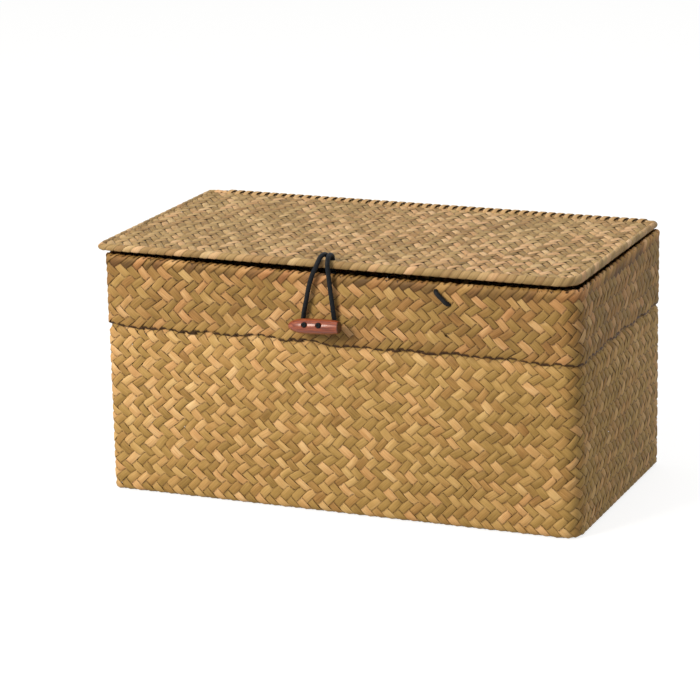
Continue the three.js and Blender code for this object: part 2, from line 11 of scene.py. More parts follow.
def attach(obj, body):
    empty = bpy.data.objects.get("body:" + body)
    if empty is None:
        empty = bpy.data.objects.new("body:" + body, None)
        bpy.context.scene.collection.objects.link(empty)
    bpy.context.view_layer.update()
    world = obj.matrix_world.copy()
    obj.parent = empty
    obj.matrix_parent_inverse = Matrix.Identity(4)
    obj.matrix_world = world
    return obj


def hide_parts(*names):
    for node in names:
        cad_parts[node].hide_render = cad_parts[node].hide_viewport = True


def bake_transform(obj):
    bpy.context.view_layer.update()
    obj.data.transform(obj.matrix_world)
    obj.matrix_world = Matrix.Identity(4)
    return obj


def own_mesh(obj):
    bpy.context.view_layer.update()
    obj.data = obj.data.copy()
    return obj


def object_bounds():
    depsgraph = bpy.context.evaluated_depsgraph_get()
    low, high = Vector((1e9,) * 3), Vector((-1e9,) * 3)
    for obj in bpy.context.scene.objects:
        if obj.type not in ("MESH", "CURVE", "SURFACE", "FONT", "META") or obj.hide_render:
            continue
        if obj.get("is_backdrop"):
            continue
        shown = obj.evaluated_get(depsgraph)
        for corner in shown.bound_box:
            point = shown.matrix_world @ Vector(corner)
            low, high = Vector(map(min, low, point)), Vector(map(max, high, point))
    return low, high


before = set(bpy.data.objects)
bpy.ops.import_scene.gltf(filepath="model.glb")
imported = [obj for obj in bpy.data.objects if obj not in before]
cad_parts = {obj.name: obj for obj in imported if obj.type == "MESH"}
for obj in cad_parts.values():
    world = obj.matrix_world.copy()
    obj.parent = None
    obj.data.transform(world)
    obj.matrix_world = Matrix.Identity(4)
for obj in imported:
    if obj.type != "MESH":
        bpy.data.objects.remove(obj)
cad_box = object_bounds()

# The plaited body: base and walls in one piece. Flattened seagrass stems about 5.5 mm wide
# cross the base on the diagonal, turn up at its edges and go on up the walls, each passing
# over two and under two of the others, so that the floats stand in level rows.
MM = 0.001
BOX_LENGTH = 380.0
BOX_DEPTH = 202.0
BOX_RADII = (5.2, 14.0, 6.0, 6.0)
LEAST_RADIUS = 0.2
CUFF_EDGE_HEIGHT = 132.4
CUFF_DEPTH = 58.0
WALL_BULGE = 1.6
FRONT_CORNER_DROP = 1.9
FRONT_SAG = 1.8

STRIPS_ALONG = 43
STRIPS_ACROSS = 23
BOX_COUNTS = (STRIPS_ALONG, STRIPS_ACROSS)
STRIPS_ROUND = 2 * (STRIPS_ALONG + STRIPS_ACROSS)
LOWER_INSET = 1.6
UPPER_INSET = 3.3
SHOULDER_HEIGHT = 127.4
SHOULDER_DEPTH = 4.0
BASE_MIDDLE = 1.5
BASE_EDGE_RADIUS = 2.4
ROW_RISE = 7.62
ROW_START = 1.5
BODY_LIFT = 0.58
BODY_STRIP_THICKNESS = 0.95
BODY_TOP_RISE = 23.5
SHORT_WALL_WIDTH = 0.98
BASE_SPREAD = ((BOX_DEPTH / 2 - LOWER_INSET - BASE_EDGE_RADIUS)
               / (ROW_RISE * STRIPS_ACROSS / 2 - BASE_EDGE_RADIUS))
# A flattened stem is thin at its edges and fuller between. Places across are shares of half
# its width, and heights are shares of its thickness.
STRIP_ACROSS = np.array([-1.0, -0.6, 0.6, 1.0, 0.0])
STRIP_HEIGHT = np.array([0.0, 0.5, 0.5, 0.0, -0.5])
STRIP_HALF_WIDTH = 2.9
STRIP_HALF_PITCH = 0.25
PATH_STEP = 0.25
PAST_END = 0.01
BODY_WIDTH = 0.98
DULL_WIDTH = 0.92
BODY_WIDTH_CHANGES = (0.04, 0.05)
BODY_TILT = 0.16
BODY_PALE_SHARE = 0.35
# Shade of a stem: its least value and how far it varies, on its pale side and its dull one
PALE_SHADE = (0.56, 0.16)
DULL_SHADE = (0.26, 0.2)
PALE_WARMTHS = [-0.35, 0.05, 0.35]
DULL_WARMTHS = [-0.6, -0.35, -0.1]
FLOAT_SHADE = 0.09
FLOAT_WARMTH = 0.16
TOGGLE_HOLE = (-11.4, 148.9)
TOGGLE_HOLE_RADIUS = 2.9
STITCH_HOLES = ((80.4, 180.2), (90.2, 170.9))
STITCH_HOLE_RADIUS = 1.7
# Two spots below the stitch where the plait has been pushed apart
WORN_SPOTS = ((104.2, 158.9), (88.0, 147.2))
WORN_SPOT_RADIUS = 1.2

chance = np.random.default_rng(41)


def outline(side, share, length, depth, inset, radii):
    """Points on an oblong with round corners. Sides count from the front, anticlockwise, and a
    share of -0.5 to 0.5 runs from one corner's middle to the next."""
    radius = np.where(share < 0, np.array(radii)[side], np.array(radii)[(side + 1) % 4]) - inset
    half = np.where(side % 2 == 0, length, depth) / 2 - inset
    radius = np.clip(radius, LEAST_RADIUS, np.maximum(half, LEAST_RADIUS))
    straight = half - radius
    run = 2 * np.abs(share) * (straight + radius * math.pi / 4)
    turn = np.clip((run - straight) / radius, 0, math.pi / 4)
    sign = np.where(share < 0, -1.0, 1.0)
    along = sign * (np.minimum(run, straight) + radius * np.sin(turn))
    out = np.where(side % 2 == 0, depth, length) / 2 - inset - radius * (1 - np.cos(turn))
    cosine, sine = np.cos(side * math.pi / 2), np.sin(side * math.pi / 2)
    return np.stack([cosine * along + sine * out, sine * along - cosine * out], -1)


def settled(points):
    """The hand-made shape: walls that bulge between their corners and a front rim that sags."""
    along = np.clip(2 * points[..., 0] / BOX_LENGTH, -1, 1)
    across = np.clip(2 * points[..., 1] / BOX_DEPTH, -1, 1)
    height = points[..., 2]
    bulge = WALL_BULGE * np.sin(math.pi * np.clip(height / CUFF_EDGE_HEIGHT, 0, 1))
    front = np.clip(0.5 - points[..., 1] / BOX_DEPTH, 0, 1)
    drop = front * (FRONT_CORNER_DROP + FRONT_SAG * (1 - along ** 2))
    moved = points.copy()
    moved[..., 0] += bulge * along * (1 - across ** 2)
    moved[..., 1] += bulge * across * (1 - along ** 2)
    moved[..., 2] -= drop * np.clip((height - CUFF_EDGE_HEIGHT) / CUFF_DEPTH, 0, 1)
    return moved


def spread(points, first, second, centre, radius):
    """Strips pushed apart where a cord goes through, about a centre in the two axes given."""
    gap = np.stack([points[..., first] - centre[0], points[..., second] - centre[1]], -1)
    distance = np.maximum(np.linalg.norm(gap, axis=-1), 0.05)
    reach = np.sqrt(distance ** 2 + radius ** 2 * np.exp(-(distance / (3 * radius)) ** 2))
    moved = points.copy()
    moved[..., first] = centre[0] + gap[..., 0] * reach / distance
    moved[..., second] = centre[1] + gap[..., 1] * reach / distance
    return moved


def with_wall_holes(points):
    """The front wall's strips pushed apart by the toggle's cord and by the stitch."""
    front = points[..., 1:2] < -BOX_DEPTH / 4
    opened = spread(points, 0, 2, TOGGLE_HOLE, TOGGLE_HOLE_RADIUS)
    for hole in STITCH_HOLES:
        opened = spread(opened, 0, 2, hole, STITCH_HOLE_RADIUS)
    for spot in WORN_SPOTS:
        opened = spread(opened, 0, 2, spot, WORN_SPOT_RADIUS)
    return np.where(front, opened, points)


def split_round(distance, counts):
    """Side and share for a distance round an oblong, counted in strips from its front left."""
    per_side = np.array([counts[0], counts[1], counts[0], counts[1]])
    starts = np.concatenate([[0], np.cumsum(per_side)[:-1]])
    wrapped = np.mod(distance, per_side.sum())
    side = np.searchsorted(starts, wrapped, side="right") - 1
    return side, (wrapped - starts[side]) / per_side[side] - 0.5


def wandered(distance, rise):
    """The small wander of hand plaiting, in strips, alike for strips that cross there."""
    turn = 2 * math.pi * distance / STRIPS_ROUND
    sideways = 0.11 * np.sin(5 * turn + 0.55 * rise) + 0.10 * np.sin(23 * turn - 0.9 * rise + 1)
    upwards = 0.10 * np.sin(7 * turn + 0.4 * rise + 2) + 0.09 * np.sin(29 * turn + 1.1 * rise)
    return distance + sideways, rise + upwards


def on_body(side, share, rise, lift):
    """A point of the body. The rise is counted in strips from the fold at the base's edge, and
    is negative under the base."""
    raised = ROW_RISE * rise + ROW_START * np.clip(rise / 1.5, 0, 1)
    bend = np.clip(raised / (2 * BASE_EDGE_RADIUS) + 0.5, 0, 1) * math.pi / 2
    height = BASE_MIDDLE + BASE_EDGE_RADIUS * (1 - np.cos(bend)) - lift * np.cos(bend)
    height = height + np.maximum(raised - BASE_EDGE_RADIUS, 0)
    drawn_in = np.clip((height - SHOULDER_HEIGHT) / SHOULDER_DEPTH, 0, 1)
    inset = LOWER_INSET + (UPPER_INSET - LOWER_INSET) * drawn_in
    inset = inset + BASE_EDGE_RADIUS * (1 - np.sin(bend)) - lift * np.sin(bend)
    inset = inset + np.maximum(-raised - BASE_EDGE_RADIUS, 0) * BASE_SPREAD
    flat = outline(side, share, BOX_LENGTH, BOX_DEPTH, inset, BOX_RADII)
    return with_wall_holes(settled(np.concatenate([flat, height[..., None]], -1)))


def on_wall(distance, rise, lift):
    """A point of the walls for a distance round them and a rise, both in strips."""
    fade = np.clip(rise / 3, 0, 1)
    far, high = wandered(distance, rise)
    side, share = split_round(distance + fade * (far - distance), BOX_COUNTS)
    return on_body(side, share, rise + fade * (high - rise), lift)


def on_base(across, back, lift):
    """A point of the base, in strips from its front left corner, or of the wall just past it."""
    inward = np.stack([back, STRIPS_ALONG - across, STRIPS_ACROSS - back, across], -1)
    side = np.argmin(inward, -1)
    depth = np.min(inward, -1)
    along = np.choose(side, [across, back, STRIPS_ALONG - across, STRIPS_ACROSS - back])
    count = np.where(side % 2 == 0, STRIPS_ALONG, STRIPS_ACROSS)
    covered = np.maximum(depth, 0)
    share = np.clip((along - count / 2) / np.maximum(count - 2 * covered, 0.1), -0.5, 0.5)
    return on_body(side, share, -depth, lift)


def left_of(heading):
    """The way from a diagonal strip's middle to its left edge, in strips: half a pitch."""
    return np.stack([-heading[:, 1], heading[:, 0]], -1) * STRIP_HALF_PITCH


def rings(place, path, left, lift, width, thickness, tilt=0.0):
    """The section of a strip carried along its path: one ring of points for each path point."""
    widths = np.broadcast_to(width, len(path))[:, None, None]
    spot = path[:, None, :] + left[:, None, :] * (STRIP_ACROSS[None, :, None] * widths)
    raised = lift[:, None] + STRIP_HEIGHT * thickness + STRIP_ACROSS * tilt
    return place(spot[..., 0], spot[..., 1], raised)


def waved(over, lift):
    """Lift at each crossing and half way between: out where the strip passes over, in where it
    passes under."""
    at_crossing = np.where(over, lift, -lift)
    wave = np.empty(2 * len(at_crossing) - 1)
    wave[0::2] = at_crossing
    wave[1::2] = (at_crossing[1:] + at_crossing[:-1]) / 2
    return wave


def strip_mesh(name, strips, material, body, replaced):
    """One mesh of many strips or cords, each closed at its ends. Each is its rings of points in
    millimetres, how far they lie across it, and its tint."""
    points, quads, caps, grain, tints = [], [], [], [], []
    start = 0
    sides = strips[0]["rings"].shape[1]
    place = np.arange(sides)
    for number, strip in enumerate(strips):
        ring = strip["rings"]
        count = len(ring)
        step = np.linalg.norm(np.diff(ring.mean(1), axis=0), axis=1)
        travelled = np.concatenate([[0], np.cumsum(step)])
        points.append(ring.reshape(-1, 3))
        grain.append(np.stack([np.repeat(travelled, sides), np.tile(strip["across"], count),
                               np.full(count * sides, number)], -1))
        tints.append(np.broadcast_to(strip["tint"], (count, sides, 3)).reshape(-1, 3))
        near = start + np.arange(count - 1)[:, None] * sides + place
        following = start + np.arange(count - 1)[:, None] * sides + (place + 1) % sides
        quads.append(np.stack([near, near + sides, following + sides, following], -1)
                     .reshape(-1, 4))
        caps.append(start + place)
        caps.append(start + (count - 1) * sides + place[::-1])
        start += count * sides
    quads = np.concatenate(quads)
    caps = np.array(caps)
    mesh = bpy.data.meshes.new(name)
    points = np.concatenate(points) * MM
    mesh.vertices.add(len(points))
    mesh.vertices.foreach_set("co", points.ravel())
    corners = np.concatenate([quads.ravel(), caps.ravel()])
    mesh.loops.add(len(corners))
    mesh.loops.foreach_set("vertex_index", corners)
    starts = np.concatenate([np.arange(len(quads)) * 4,
                             len(quads) * 4 + np.arange(len(caps)) * sides])
    mesh.polygons.add(len(starts))
    mesh.polygons.foreach_set("loop_start", starts)
    mesh.update(calc_edges=True)
    mesh.shade_smooth()
    ends = np.zeros(len(mesh.edges) * 2, int)
    mesh.edges.foreach_get("vertices", ends)
    ends = ends.reshape(-1, 2) % sides
    strip_edges = np.flatnonzero(np.abs(STRIP_ACROSS) == 1)
    at_edge = (ends[:, 0] == ends[:, 1]) & np.isin(ends[:, 0], strip_edges)
    sharp = mesh.attributes.new("sharp_edge", "BOOLEAN", "EDGE")
    sharp.data.foreach_set("value", at_edge & (sides == len(STRIP_ACROSS)))
    for title, values in (("grain", grain), ("tint", tints)):
        attribute = mesh.attributes.new(title, "FLOAT_VECTOR", "POINT")
        attribute.data.foreach_set("vector", np.concatenate(values).ravel())
    mesh.materials.append(material)
    made = bpy.data.objects.new(name, mesh)
    bpy.context.scene.collection.objects.link(made)
    if body:
        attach(made, body)
    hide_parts(replaced)
    return made


def node(tree, kind, settings=None, links=None):
    """Adds a shader node with its settings and the sockets that feed it."""
    made = tree.nodes.new(kind)
    for name, value in (settings or {}).items():
        if isinstance(name, int) or name in made.inputs:
            made.inputs[name].default_value = value
        else:
            setattr(made, name, value)
    for name, socket in (links or {}).items():
        tree.links.new(socket, made.inputs[name])
    return made


def maths(tree, operation, *values, clamp=False):
    """The result of a maths node fed by plain numbers and by sockets."""
    numbers = {place: value for place, value in enumerate(values)
               if isinstance(value, (int, float))}
    sockets = {place: value for place, value in enumerate(values) if place not in numbers}
    settings = {"operation": operation, "use_clamp": clamp, **numbers}
    return node(tree, "ShaderNodeMath", settings, sockets).outputs["Value"]


def noise(tree, place, scale, settings):
    """Noise at a place that is stretched by a scale along each axis."""
    stretched = node(tree, "ShaderNodeVectorMath", {"operation": "MULTIPLY", 1: scale}, {0: place})
    return node(tree, "ShaderNodeTexNoise", {"Scale": 1.0, **settings},
                {"Vector": stretched.outputs["Vector"]}).outputs


def surfaced(tree, colour, height, strength, depth, settings):
    """Ends a material in a surface with a colour and a fine relief, its depth in millimetres."""
    bump = node(tree, "ShaderNodeBump", {"Strength": strength, "Distance": depth * MM},
                {"Height": height})
    surface = node(tree, "ShaderNodeBsdfPrincipled", settings,
                   {"Base Color": colour, "Normal": bump.outputs["Normal"]})
    node(tree, "ShaderNodeOutputMaterial", links={"Surface": surface.outputs["BSDF"]})


def linear(colour):
    """A hex colour in sRGB as linear red, green, blue and alpha."""
    parts = [int(colour[i:i + 2], 16) / 255 for i in (1, 3, 5)]
    return [c / 12.92 if c <= 0.04045 else ((c + 0.055) / 1.055) ** 2.4 for c in parts] + [1.0]


def fill_ramp(ramp, stops):
    """Sets a colour ramp from pairs of place and hex colour."""
    elements = ramp.color_ramp.elements
    while len(elements) < len(stops):
        elements.new(1.0)
    for element, (place, colour) in zip(elements, stops):
        element.position = place
        element.color = linear(colour)


def new_material(name):
    """An empty node material and its tree."""
    material = bpy.data.materials.new(name)
    material.use_nodes = True
    material.node_tree.nodes.clear()
    return material, material.node_tree


def seagrass(name, greenish, reddish, painted_shade_colour, gloss=0.62):
    """Dried seagrass, flattened and plaited by hand: long fibres that catch the light in fine
    streaks, each stem of its own shade from olive to straw to pinkish tan, with painted shade
    in the creases where the stems go under each other and along each stem's edges."""
    material, tree = new_material(name)
    grain = node(tree, "ShaderNodeAttribute", {"attribute_name": "grain"})
    tint = node(tree, "ShaderNodeAttribute", {"attribute_name": "tint"})
    tint_parts = node(tree, "ShaderNodeSeparateXYZ", links={"Vector": tint.outputs["Vector"]})
    grain_parts = node(tree, "ShaderNodeSeparateXYZ", links={"Vector": grain.outputs["Vector"]})
    fibre = noise(tree, grain.outputs["Vector"], (1 / 18, 1 / 0.55, 5.3),
                  {"Detail": 4.0, "Roughness": 0.6})
    blotch = noise(tree, grain.outputs["Vector"], (1 / 16, 1 / 9, 3.7), {"Detail": 2.0})
    lightness = maths(tree, "MULTIPLY_ADD", blotch["Fac"], 0.55, tint_parts.outputs["X"])
    streaked = maths(tree, "MULTIPLY_ADD", fibre["Fac"], 0.75, lightness)
    level = maths(tree, "SUBTRACT", streaked, 0.65)
    green_ramp = node(tree, "ShaderNodeValToRGB", links={"Fac": level})
    fill_ramp(green_ramp, greenish)
    red_ramp = node(tree, "ShaderNodeValToRGB", links={"Fac": level})
    fill_ramp(red_ramp, reddish)
    warmth = maths(tree, "MULTIPLY_ADD", blotch["Color"], 0.9, tint_parts.outputs["Y"],
                   clamp=True)
    dry = node(tree, "ShaderNodeMix", {"data_type": "RGBA"},
               {"Factor": warmth, 6: green_ramp.outputs["Color"], 7: red_ramp.outputs["Color"]})
    # Painted shade: the colour darkens towards each stem's edges, for the shade between
    # neighbouring stems.
    edge_painted_shade = node(tree, "ShaderNodeMapRange",
                     {"From Min": 2.2, "From Max": 3.1, "To Min": 0.0, "To Max": 0.28},
                     {"Value": maths(tree, "ABSOLUTE", grain_parts.outputs["Y"])})
    # Painted shade: the colour darkens where a stem goes under others, by the crease share in the
    # tint's last part, with bounds made ragged along the fibres.
    ragged_crease_shade = maths(tree, "MULTIPLY_ADD", fibre["Fac"], 0.5, tint_parts.outputs["Z"])
    crease_painted_shade = node(tree, "ShaderNodeMapRange",
                      {"interpolation_type": "SMOOTHSTEP", "From Min": 0.52, "From Max": 0.86,
                       "To Min": 0.0, "To Max": 0.95}, {"Value": ragged_crease_shade})
    painted_shade_share = maths(tree, "MAXIMUM", edge_painted_shade.outputs["Result"], crease_painted_shade.outputs["Result"])
    # The painted shade colour is mixed in by the larger of the two shares.
    with_painted_shade = node(tree, "ShaderNodeMix", {"data_type": "RGBA", 7: linear(painted_shade_colour)},
                   {"Factor": painted_shade_share, 6: dry.outputs[2]})
    surfaced(tree, with_painted_shade.outputs[2], fibre["Fac"], 0.7, 0.3,
             {"Roughness": gloss, "IOR": 1.45, "Specular IOR Level": 0.35})
    return material


# Dried seagrass of the walls: straw, with olive stems and pinkish tan ones
WALL_GREENISH = [(0.0, "#846530"), (0.35, "#ad8a4b"), (0.65, "#c9a362"), (1.0, "#eac687")]
WALL_REDDISH = [(0.0, "#8d5c2e"), (0.35, "#bf8c53"), (0.65, "#dcac72"), (1.0, "#f8d69e")]
# Colour of the painted shade in the stems' creases and along their edges
PAINTED_CREASE_SHADE = "#3a220b"
wall_grass = seagrass("plaited_seagrass_wall", WALL_GREENISH, WALL_REDDISH, PAINTED_CREASE_SHADE)


def stem_tint(pale):
    """Shade and warmth of one stem: the pale side of a stem is turned out on every other one."""
    least, change = PALE_SHADE if pale else DULL_SHADE
    shade = least + change * chance.random()
    return (shade, chance.choice(PALE_WARMTHS if pale else DULL_WARMTHS), 0.0)


def varied(most):
    """A random amount up to the most either way."""
    return most * (2 * chance.random() - 1)


def by_float(lift, most):
    """A random amount for each ring of a strip, the same all along each of its floats."""
    number = np.cumsum(np.diff(lift > 0, prepend=False))
    return most * (2 * chance.random(number.max() + 1) - 1)[number]


def stem(ring, width, pale, lift):
    """One stem for a mesh of strips. The last part of its tint is its share of painted crease
    shade: on its outer face where it passes under the others, and on its inner face where it passes
    over."""
    tint = np.tile(stem_tint(pale), (len(ring), len(STRIP_ACROSS), 1))
    tint[..., 0] += by_float(lift, FLOAT_SHADE)[:, None]
    tint[..., 1] += by_float(lift, FLOAT_WARMTH)[:, None]
    # Painted shade: the crease share grows as the stem sinks below the others, and its edges take
    # half of it.
    under = (0.5 - 0.5 * lift / np.abs(lift).max())[:, None]
    tint[..., 2] = np.where(STRIP_HEIGHT > 0, under, 0.5 * under)
    tint[:, STRIP_HEIGHT < 0, 2] = 1 - under
    return {"rings": ring, "across": STRIP_ACROSS * STRIP_HALF_WIDTH * width, "tint": tint}


def wall_over(rise, leans_right):
    """Whether a strip passes over the one it crosses at a rise, by the way that it leans."""
    row = np.mod(np.round(2 * rise).astype(int), 4)
    return np.where(leans_right, row >= 2, row <= 1)


def wall_run(foot, lean):
    """Path up a wall from the fold: places, heading and crossings. A lean of 1 rises to the
    right, seen from outside, and one of -1 to the left."""
    rise = np.arange(PATH_STEP, BODY_TOP_RISE + PAST_END, PATH_STEP)
    path = np.stack([foot + lean * rise, rise], -1)
    heading = np.tile([float(lean), 1.0], (len(rise), 1))
    return path, heading, wall_over(rise[1::2], lean > 0)


def body_strip(slope, offset, width):
    """One strip of the body: up one wall's height, across the base and up another wall. With a
    slope of -1 it crosses the base towards the back left, and with 1 towards the back right."""
    if slope < 0:
        low, high = max(0.0, offset - STRIPS_ACROSS), min(STRIPS_ALONG, offset)
        across = np.arange(low, high + PAST_END, PATH_STEP)
        back = offset - across
        start_foot, start_lean = STRIPS_ROUND - offset, -1 if offset < STRIPS_ACROSS else 1
        end_foot, end_lean = offset, 1 if offset < STRIPS_ALONG else -1
    else:
        low, high = max(0.0, offset), min(STRIPS_ALONG, STRIPS_ACROSS + offset)
        across = np.arange(low, high + PAST_END, PATH_STEP)
        back = across - offset
        start_foot, start_lean = (offset, -1) if offset > 0 else (STRIPS_ROUND + offset, 1)
        end_foot = 2 * STRIPS_ALONG - offset
        end_lean = -1 if offset < STRIPS_ALONG - STRIPS_ACROSS else 1
    inward = np.stack([back, STRIPS_ALONG - across, STRIPS_ACROSS - back, across], -1)[::2]
    leans_right = (np.argmin(inward, -1) % 2 == 0) == (slope < 0)
    base_over = wall_over(-np.min(inward, -1), leans_right)
    start_path, start_heading, start_over = wall_run(start_foot, start_lean)
    end_path, end_heading, end_over = wall_run(end_foot, end_lean)
    lift = waved(np.concatenate([start_over[::-1], base_over, end_over]), BODY_LIFT)
    tilt = by_float(lift, BODY_TILT)[:, None]
    # The plait is a little looser on the two short walls.
    loose = [np.where(split_round(path[:, 0], BOX_COUNTS)[0] % 2 == 1, SHORT_WALL_WIDTH, 1.0)
             for path in (start_path[::-1], end_path)]
    widths = width * (1 + by_float(lift, BODY_WIDTH_CHANGES[1]))
    widths = widths * np.concatenate([loose[0], np.ones(len(across)), loose[1]])
    # Seen from below, the base's second axis runs towards the front.
    runs = [(on_wall, start_path[::-1], -start_heading),
            (lambda u, v, h: on_base(u, -v, h), np.stack([across, -back], -1),
             np.tile([1.0, -float(slope)], (len(across), 1))),
            (on_wall, end_path, end_heading)]
    ends = [len(start_path), len(start_path) + len(across)]
    shares = [np.split(values, ends) for values in (lift, widths, tilt)]
    parts = [rings(place, path, left_of(heading), up, wide, BODY_STRIP_THICKNESS, lean)
             for (place, path, heading), up, wide, lean in zip(runs, *shares)]
    return np.concatenate(parts), lift


def body_family(name, slope, offsets):
    """All the strips of the body that cross its base one way. In one family every other stem is
    a wide pale one."""
    strips = []
    for index, offset in enumerate(offsets):
        pale = index % 2 == 1 and (slope > 0 or chance.random() < BODY_PALE_SHARE)
        width = BODY_WIDTH if pale or slope < 0 else DULL_WIDTH
        width = width * (1 + varied(BODY_WIDTH_CHANGES[0]))
        ring, lift = body_strip(slope, offset, width)
        strips.append(stem(ring, width, pale, lift))
    strip_mesh(name, strips, wall_grass, "basket", "plaited_body")


body_family("body_strips_left", -1, np.arange(0.5, STRIPS_ALONG + STRIPS_ACROSS))
body_family("body_strips_right", 1, np.arange(0.5 - STRIPS_ACROSS, STRIPS_ALONG))

# The cuff: the strips that come up the wall turn over its top and are plaited back down outside
# it as a second layer, in the same twill, which ends in a level cut edge 58 mm below the rim.
CUFF_INSET = 1.0
CUFF_ROW_RISE = 8.18
RIM_ROW_HEIGHT = 191.9
RIM_TURN_RADIUS = 1.55
RIM_TURN_HEIGHT = 187.65
CUFF_FOOT = -7.25
CUFF_SHIFT = 0.28
CUFF_LIFT = 0.46
CUFF_STRIP_THICKNESS = 0.82
RIM_TURN_START = (RIM_TURN_HEIGHT - RIM_ROW_HEIGHT) / CUFF_ROW_RISE
ROWS_BELOW_RIM = 24.9
CUFF_WIDTH = 0.94
CUFF_WIDTH_CHANGES = (0.05, 0.07)
CUFF_TILT = 0.14
CUFF_FOOT_LIFT = -0.35
CUFF_FOOT_UNEVENNESS = 0.12


def on_rim(distance, rise, lift):
    """A point of the cuff or the rim, for a distance round the box and a rise, both in strips.
    The rise is nought near the rim, and carries on over it and down inside the wall."""
    far, high = wandered(distance, rise + ROWS_BELOW_RIM)
    past = (high - ROWS_BELOW_RIM - RIM_TURN_START) * CUFF_ROW_RISE
    turn = np.clip(past / RIM_TURN_RADIUS, 0, math.pi)
    radius = RIM_TURN_RADIUS + lift
    inset = CUFF_INSET + RIM_TURN_RADIUS - radius * np.cos(turn)
    height = RIM_TURN_HEIGHT + np.minimum(past, 0) + radius * np.sin(turn)
    height = height - np.maximum(past - math.pi * RIM_TURN_RADIUS, 0)
    side, share = split_round(far, BOX_COUNTS)
    flat = outline(side, share, BOX_LENGTH, BOX_DEPTH, inset, BOX_RADII)
    return with_wall_holes(settled(np.concatenate([flat, height[..., None]], -1)))


def cuff_strip(foot, lean, top, width):
    """One strip of the cuff, cut level at its foot and hidden under others at its top."""
    rise = np.arange(CUFF_FOOT - PATH_STEP, top + PAST_END, PATH_STEP)
    lift = waved(wall_over(rise[::2], lean > 0), CUFF_LIFT)[1:]
    rise = rise[1:]
    lift[0] = CUFF_FOOT_LIFT
    rise[0] += varied(CUFF_FOOT_UNEVENNESS)
    path = np.stack([foot + lean * rise, rise], -1)
    left = left_of(np.tile([float(lean), 1.0], (len(rise), 1)))
    left[0] = (-0.5, 0.0)
    widths = width * (1 + by_float(lift, CUFF_WIDTH_CHANGES[1]))
    ring = rings(on_rim, path, left, lift, widths, CUFF_STRIP_THICKNESS,
                 by_float(lift, CUFF_TILT)[:, None])
    return ring, lift


# The cuff has been handled more, and is a little darker and browner than the body.
cuff_greenish = [(0.0, "#735528"), (0.35, "#9a793f"), (0.65, "#b59153"), (1.0, "#dcb87d")]
cuff_reddish = [(0.0, "#7d4d26"), (0.35, "#ab7846"), (0.65, "#c89560"), (1.0, "#ecc48e")]
cuff_grass = seagrass("plaited_seagrass_cuff", cuff_greenish, cuff_reddish, PAINTED_CREASE_SHADE)
for name, lean, top, pale_share in (("cuff_strips_rising_right", 1, -1.5, 0.12),
                                    ("cuff_strips_rising_left", -1, -0.5, 0.4)):
    strips = []
    for foot in np.arange(STRIPS_ROUND) + 0.5 + CUFF_SHIFT:
        width = CUFF_WIDTH + varied(CUFF_WIDTH_CHANGES[0])
        ring, lift = cuff_strip(foot, lean, top, width)
        strips.append(stem(ring, width, chance.random() < pale_share, lift))
    strip_mesh(name, strips, cuff_grass, "basket", "folded_cuff")

# The rim: every strip that leans to the right turns over the top of the wall in a fold. Each
# fold is drawn tight over the last, so that its right edge stands proud of the next one.
FOLD_WIDTH = 1.1
FOLD_TILT = -0.42
FOLD_THICKNESS = 0.75
FOLD_WIDTH_CHANGE = 0.05


def rim_fold(foot, width):
    """One fold, from under the cuff's top row over the rim to its end inside the wall."""
    turn_end = RIM_TURN_START + math.pi * RIM_TURN_RADIUS / CUFF_ROW_RISE
    rise = np.concatenate([np.arange(-1.75, -0.6, 0.25),
                           np.linspace(RIM_TURN_START, turn_end, 9),
                           np.linspace(turn_end + 0.2, 1.5, 4)])
    path = np.stack([foot + rise, rise], -1)
    lift = np.interp(rise, [-1.75, -1.5, -1.0, 1.2, 1.5],
                     [-CUFF_LIFT, -CUFF_LIFT, CUFF_LIFT, CUFF_LIFT, 0.1])
    tilt = np.interp(rise, [-1.75, -1.0], [0, FOLD_TILT])[:, None]
    left = left_of(np.ones((len(rise), 2)))
    return rings(on_rim, path, left, lift, width, FOLD_THICKNESS, tilt), lift


# The folds of the rim have darker low colours than the walls.
FOLD_GREENISH = [(0.0, "#5f441f"), (0.35, "#94713a"), (0.65, "#bb9255"), (1.0, "#e6be84")]
FOLD_REDDISH = [(0.0, "#68401f"), (0.35, "#a16d3e"), (0.65, "#cb945f"), (1.0, "#f0c393")]
fold_grass = seagrass("folded_seagrass_edges", FOLD_GREENISH, FOLD_REDDISH, PAINTED_CREASE_SHADE)
strips = []
for foot in np.arange(STRIPS_ROUND) + 0.5 + CUFF_SHIFT:
    width = FOLD_WIDTH + varied(FOLD_WIDTH_CHANGE)
    ring, lift = rim_fold(foot, width)
    fold = stem(ring, width, chance.random() < 0.3, lift)
    # Painted light: each fold is lighter towards the top of the rim, a painted highlight on its
    # bend, and darker towards its lower tip, in painted shade.
    fold["tint"][..., 0] += np.interp(ring[:, :, 2], [181, 189], [-0.26, 0.2])
    strips.append(fold)
strip_mesh("rim_fold_strips", strips, fold_grass, "basket", "rim_folds")

# The stitch: a short staple of black braided cord through both layers of the front wall, with
# each end knotted inside. The cord's round cover is braided of six fine strands.
CORD_CARRIERS = 6
CORD_SIDES = 24
CORD_STEP = 0.45
BRAID_LAY = 4.4
BRAID_RELIEF_SHARE = 0.07
STITCH_DIAMETER = 3.5
FRONT_Y = -BOX_DEPTH / 2
INNER_FRONT_Y = -96.3
KNOT_CORD_DIAMETER = 2.3
STITCH_KNOT_COIL = 1.6
STITCH_KNOT_TURNS = 1.5


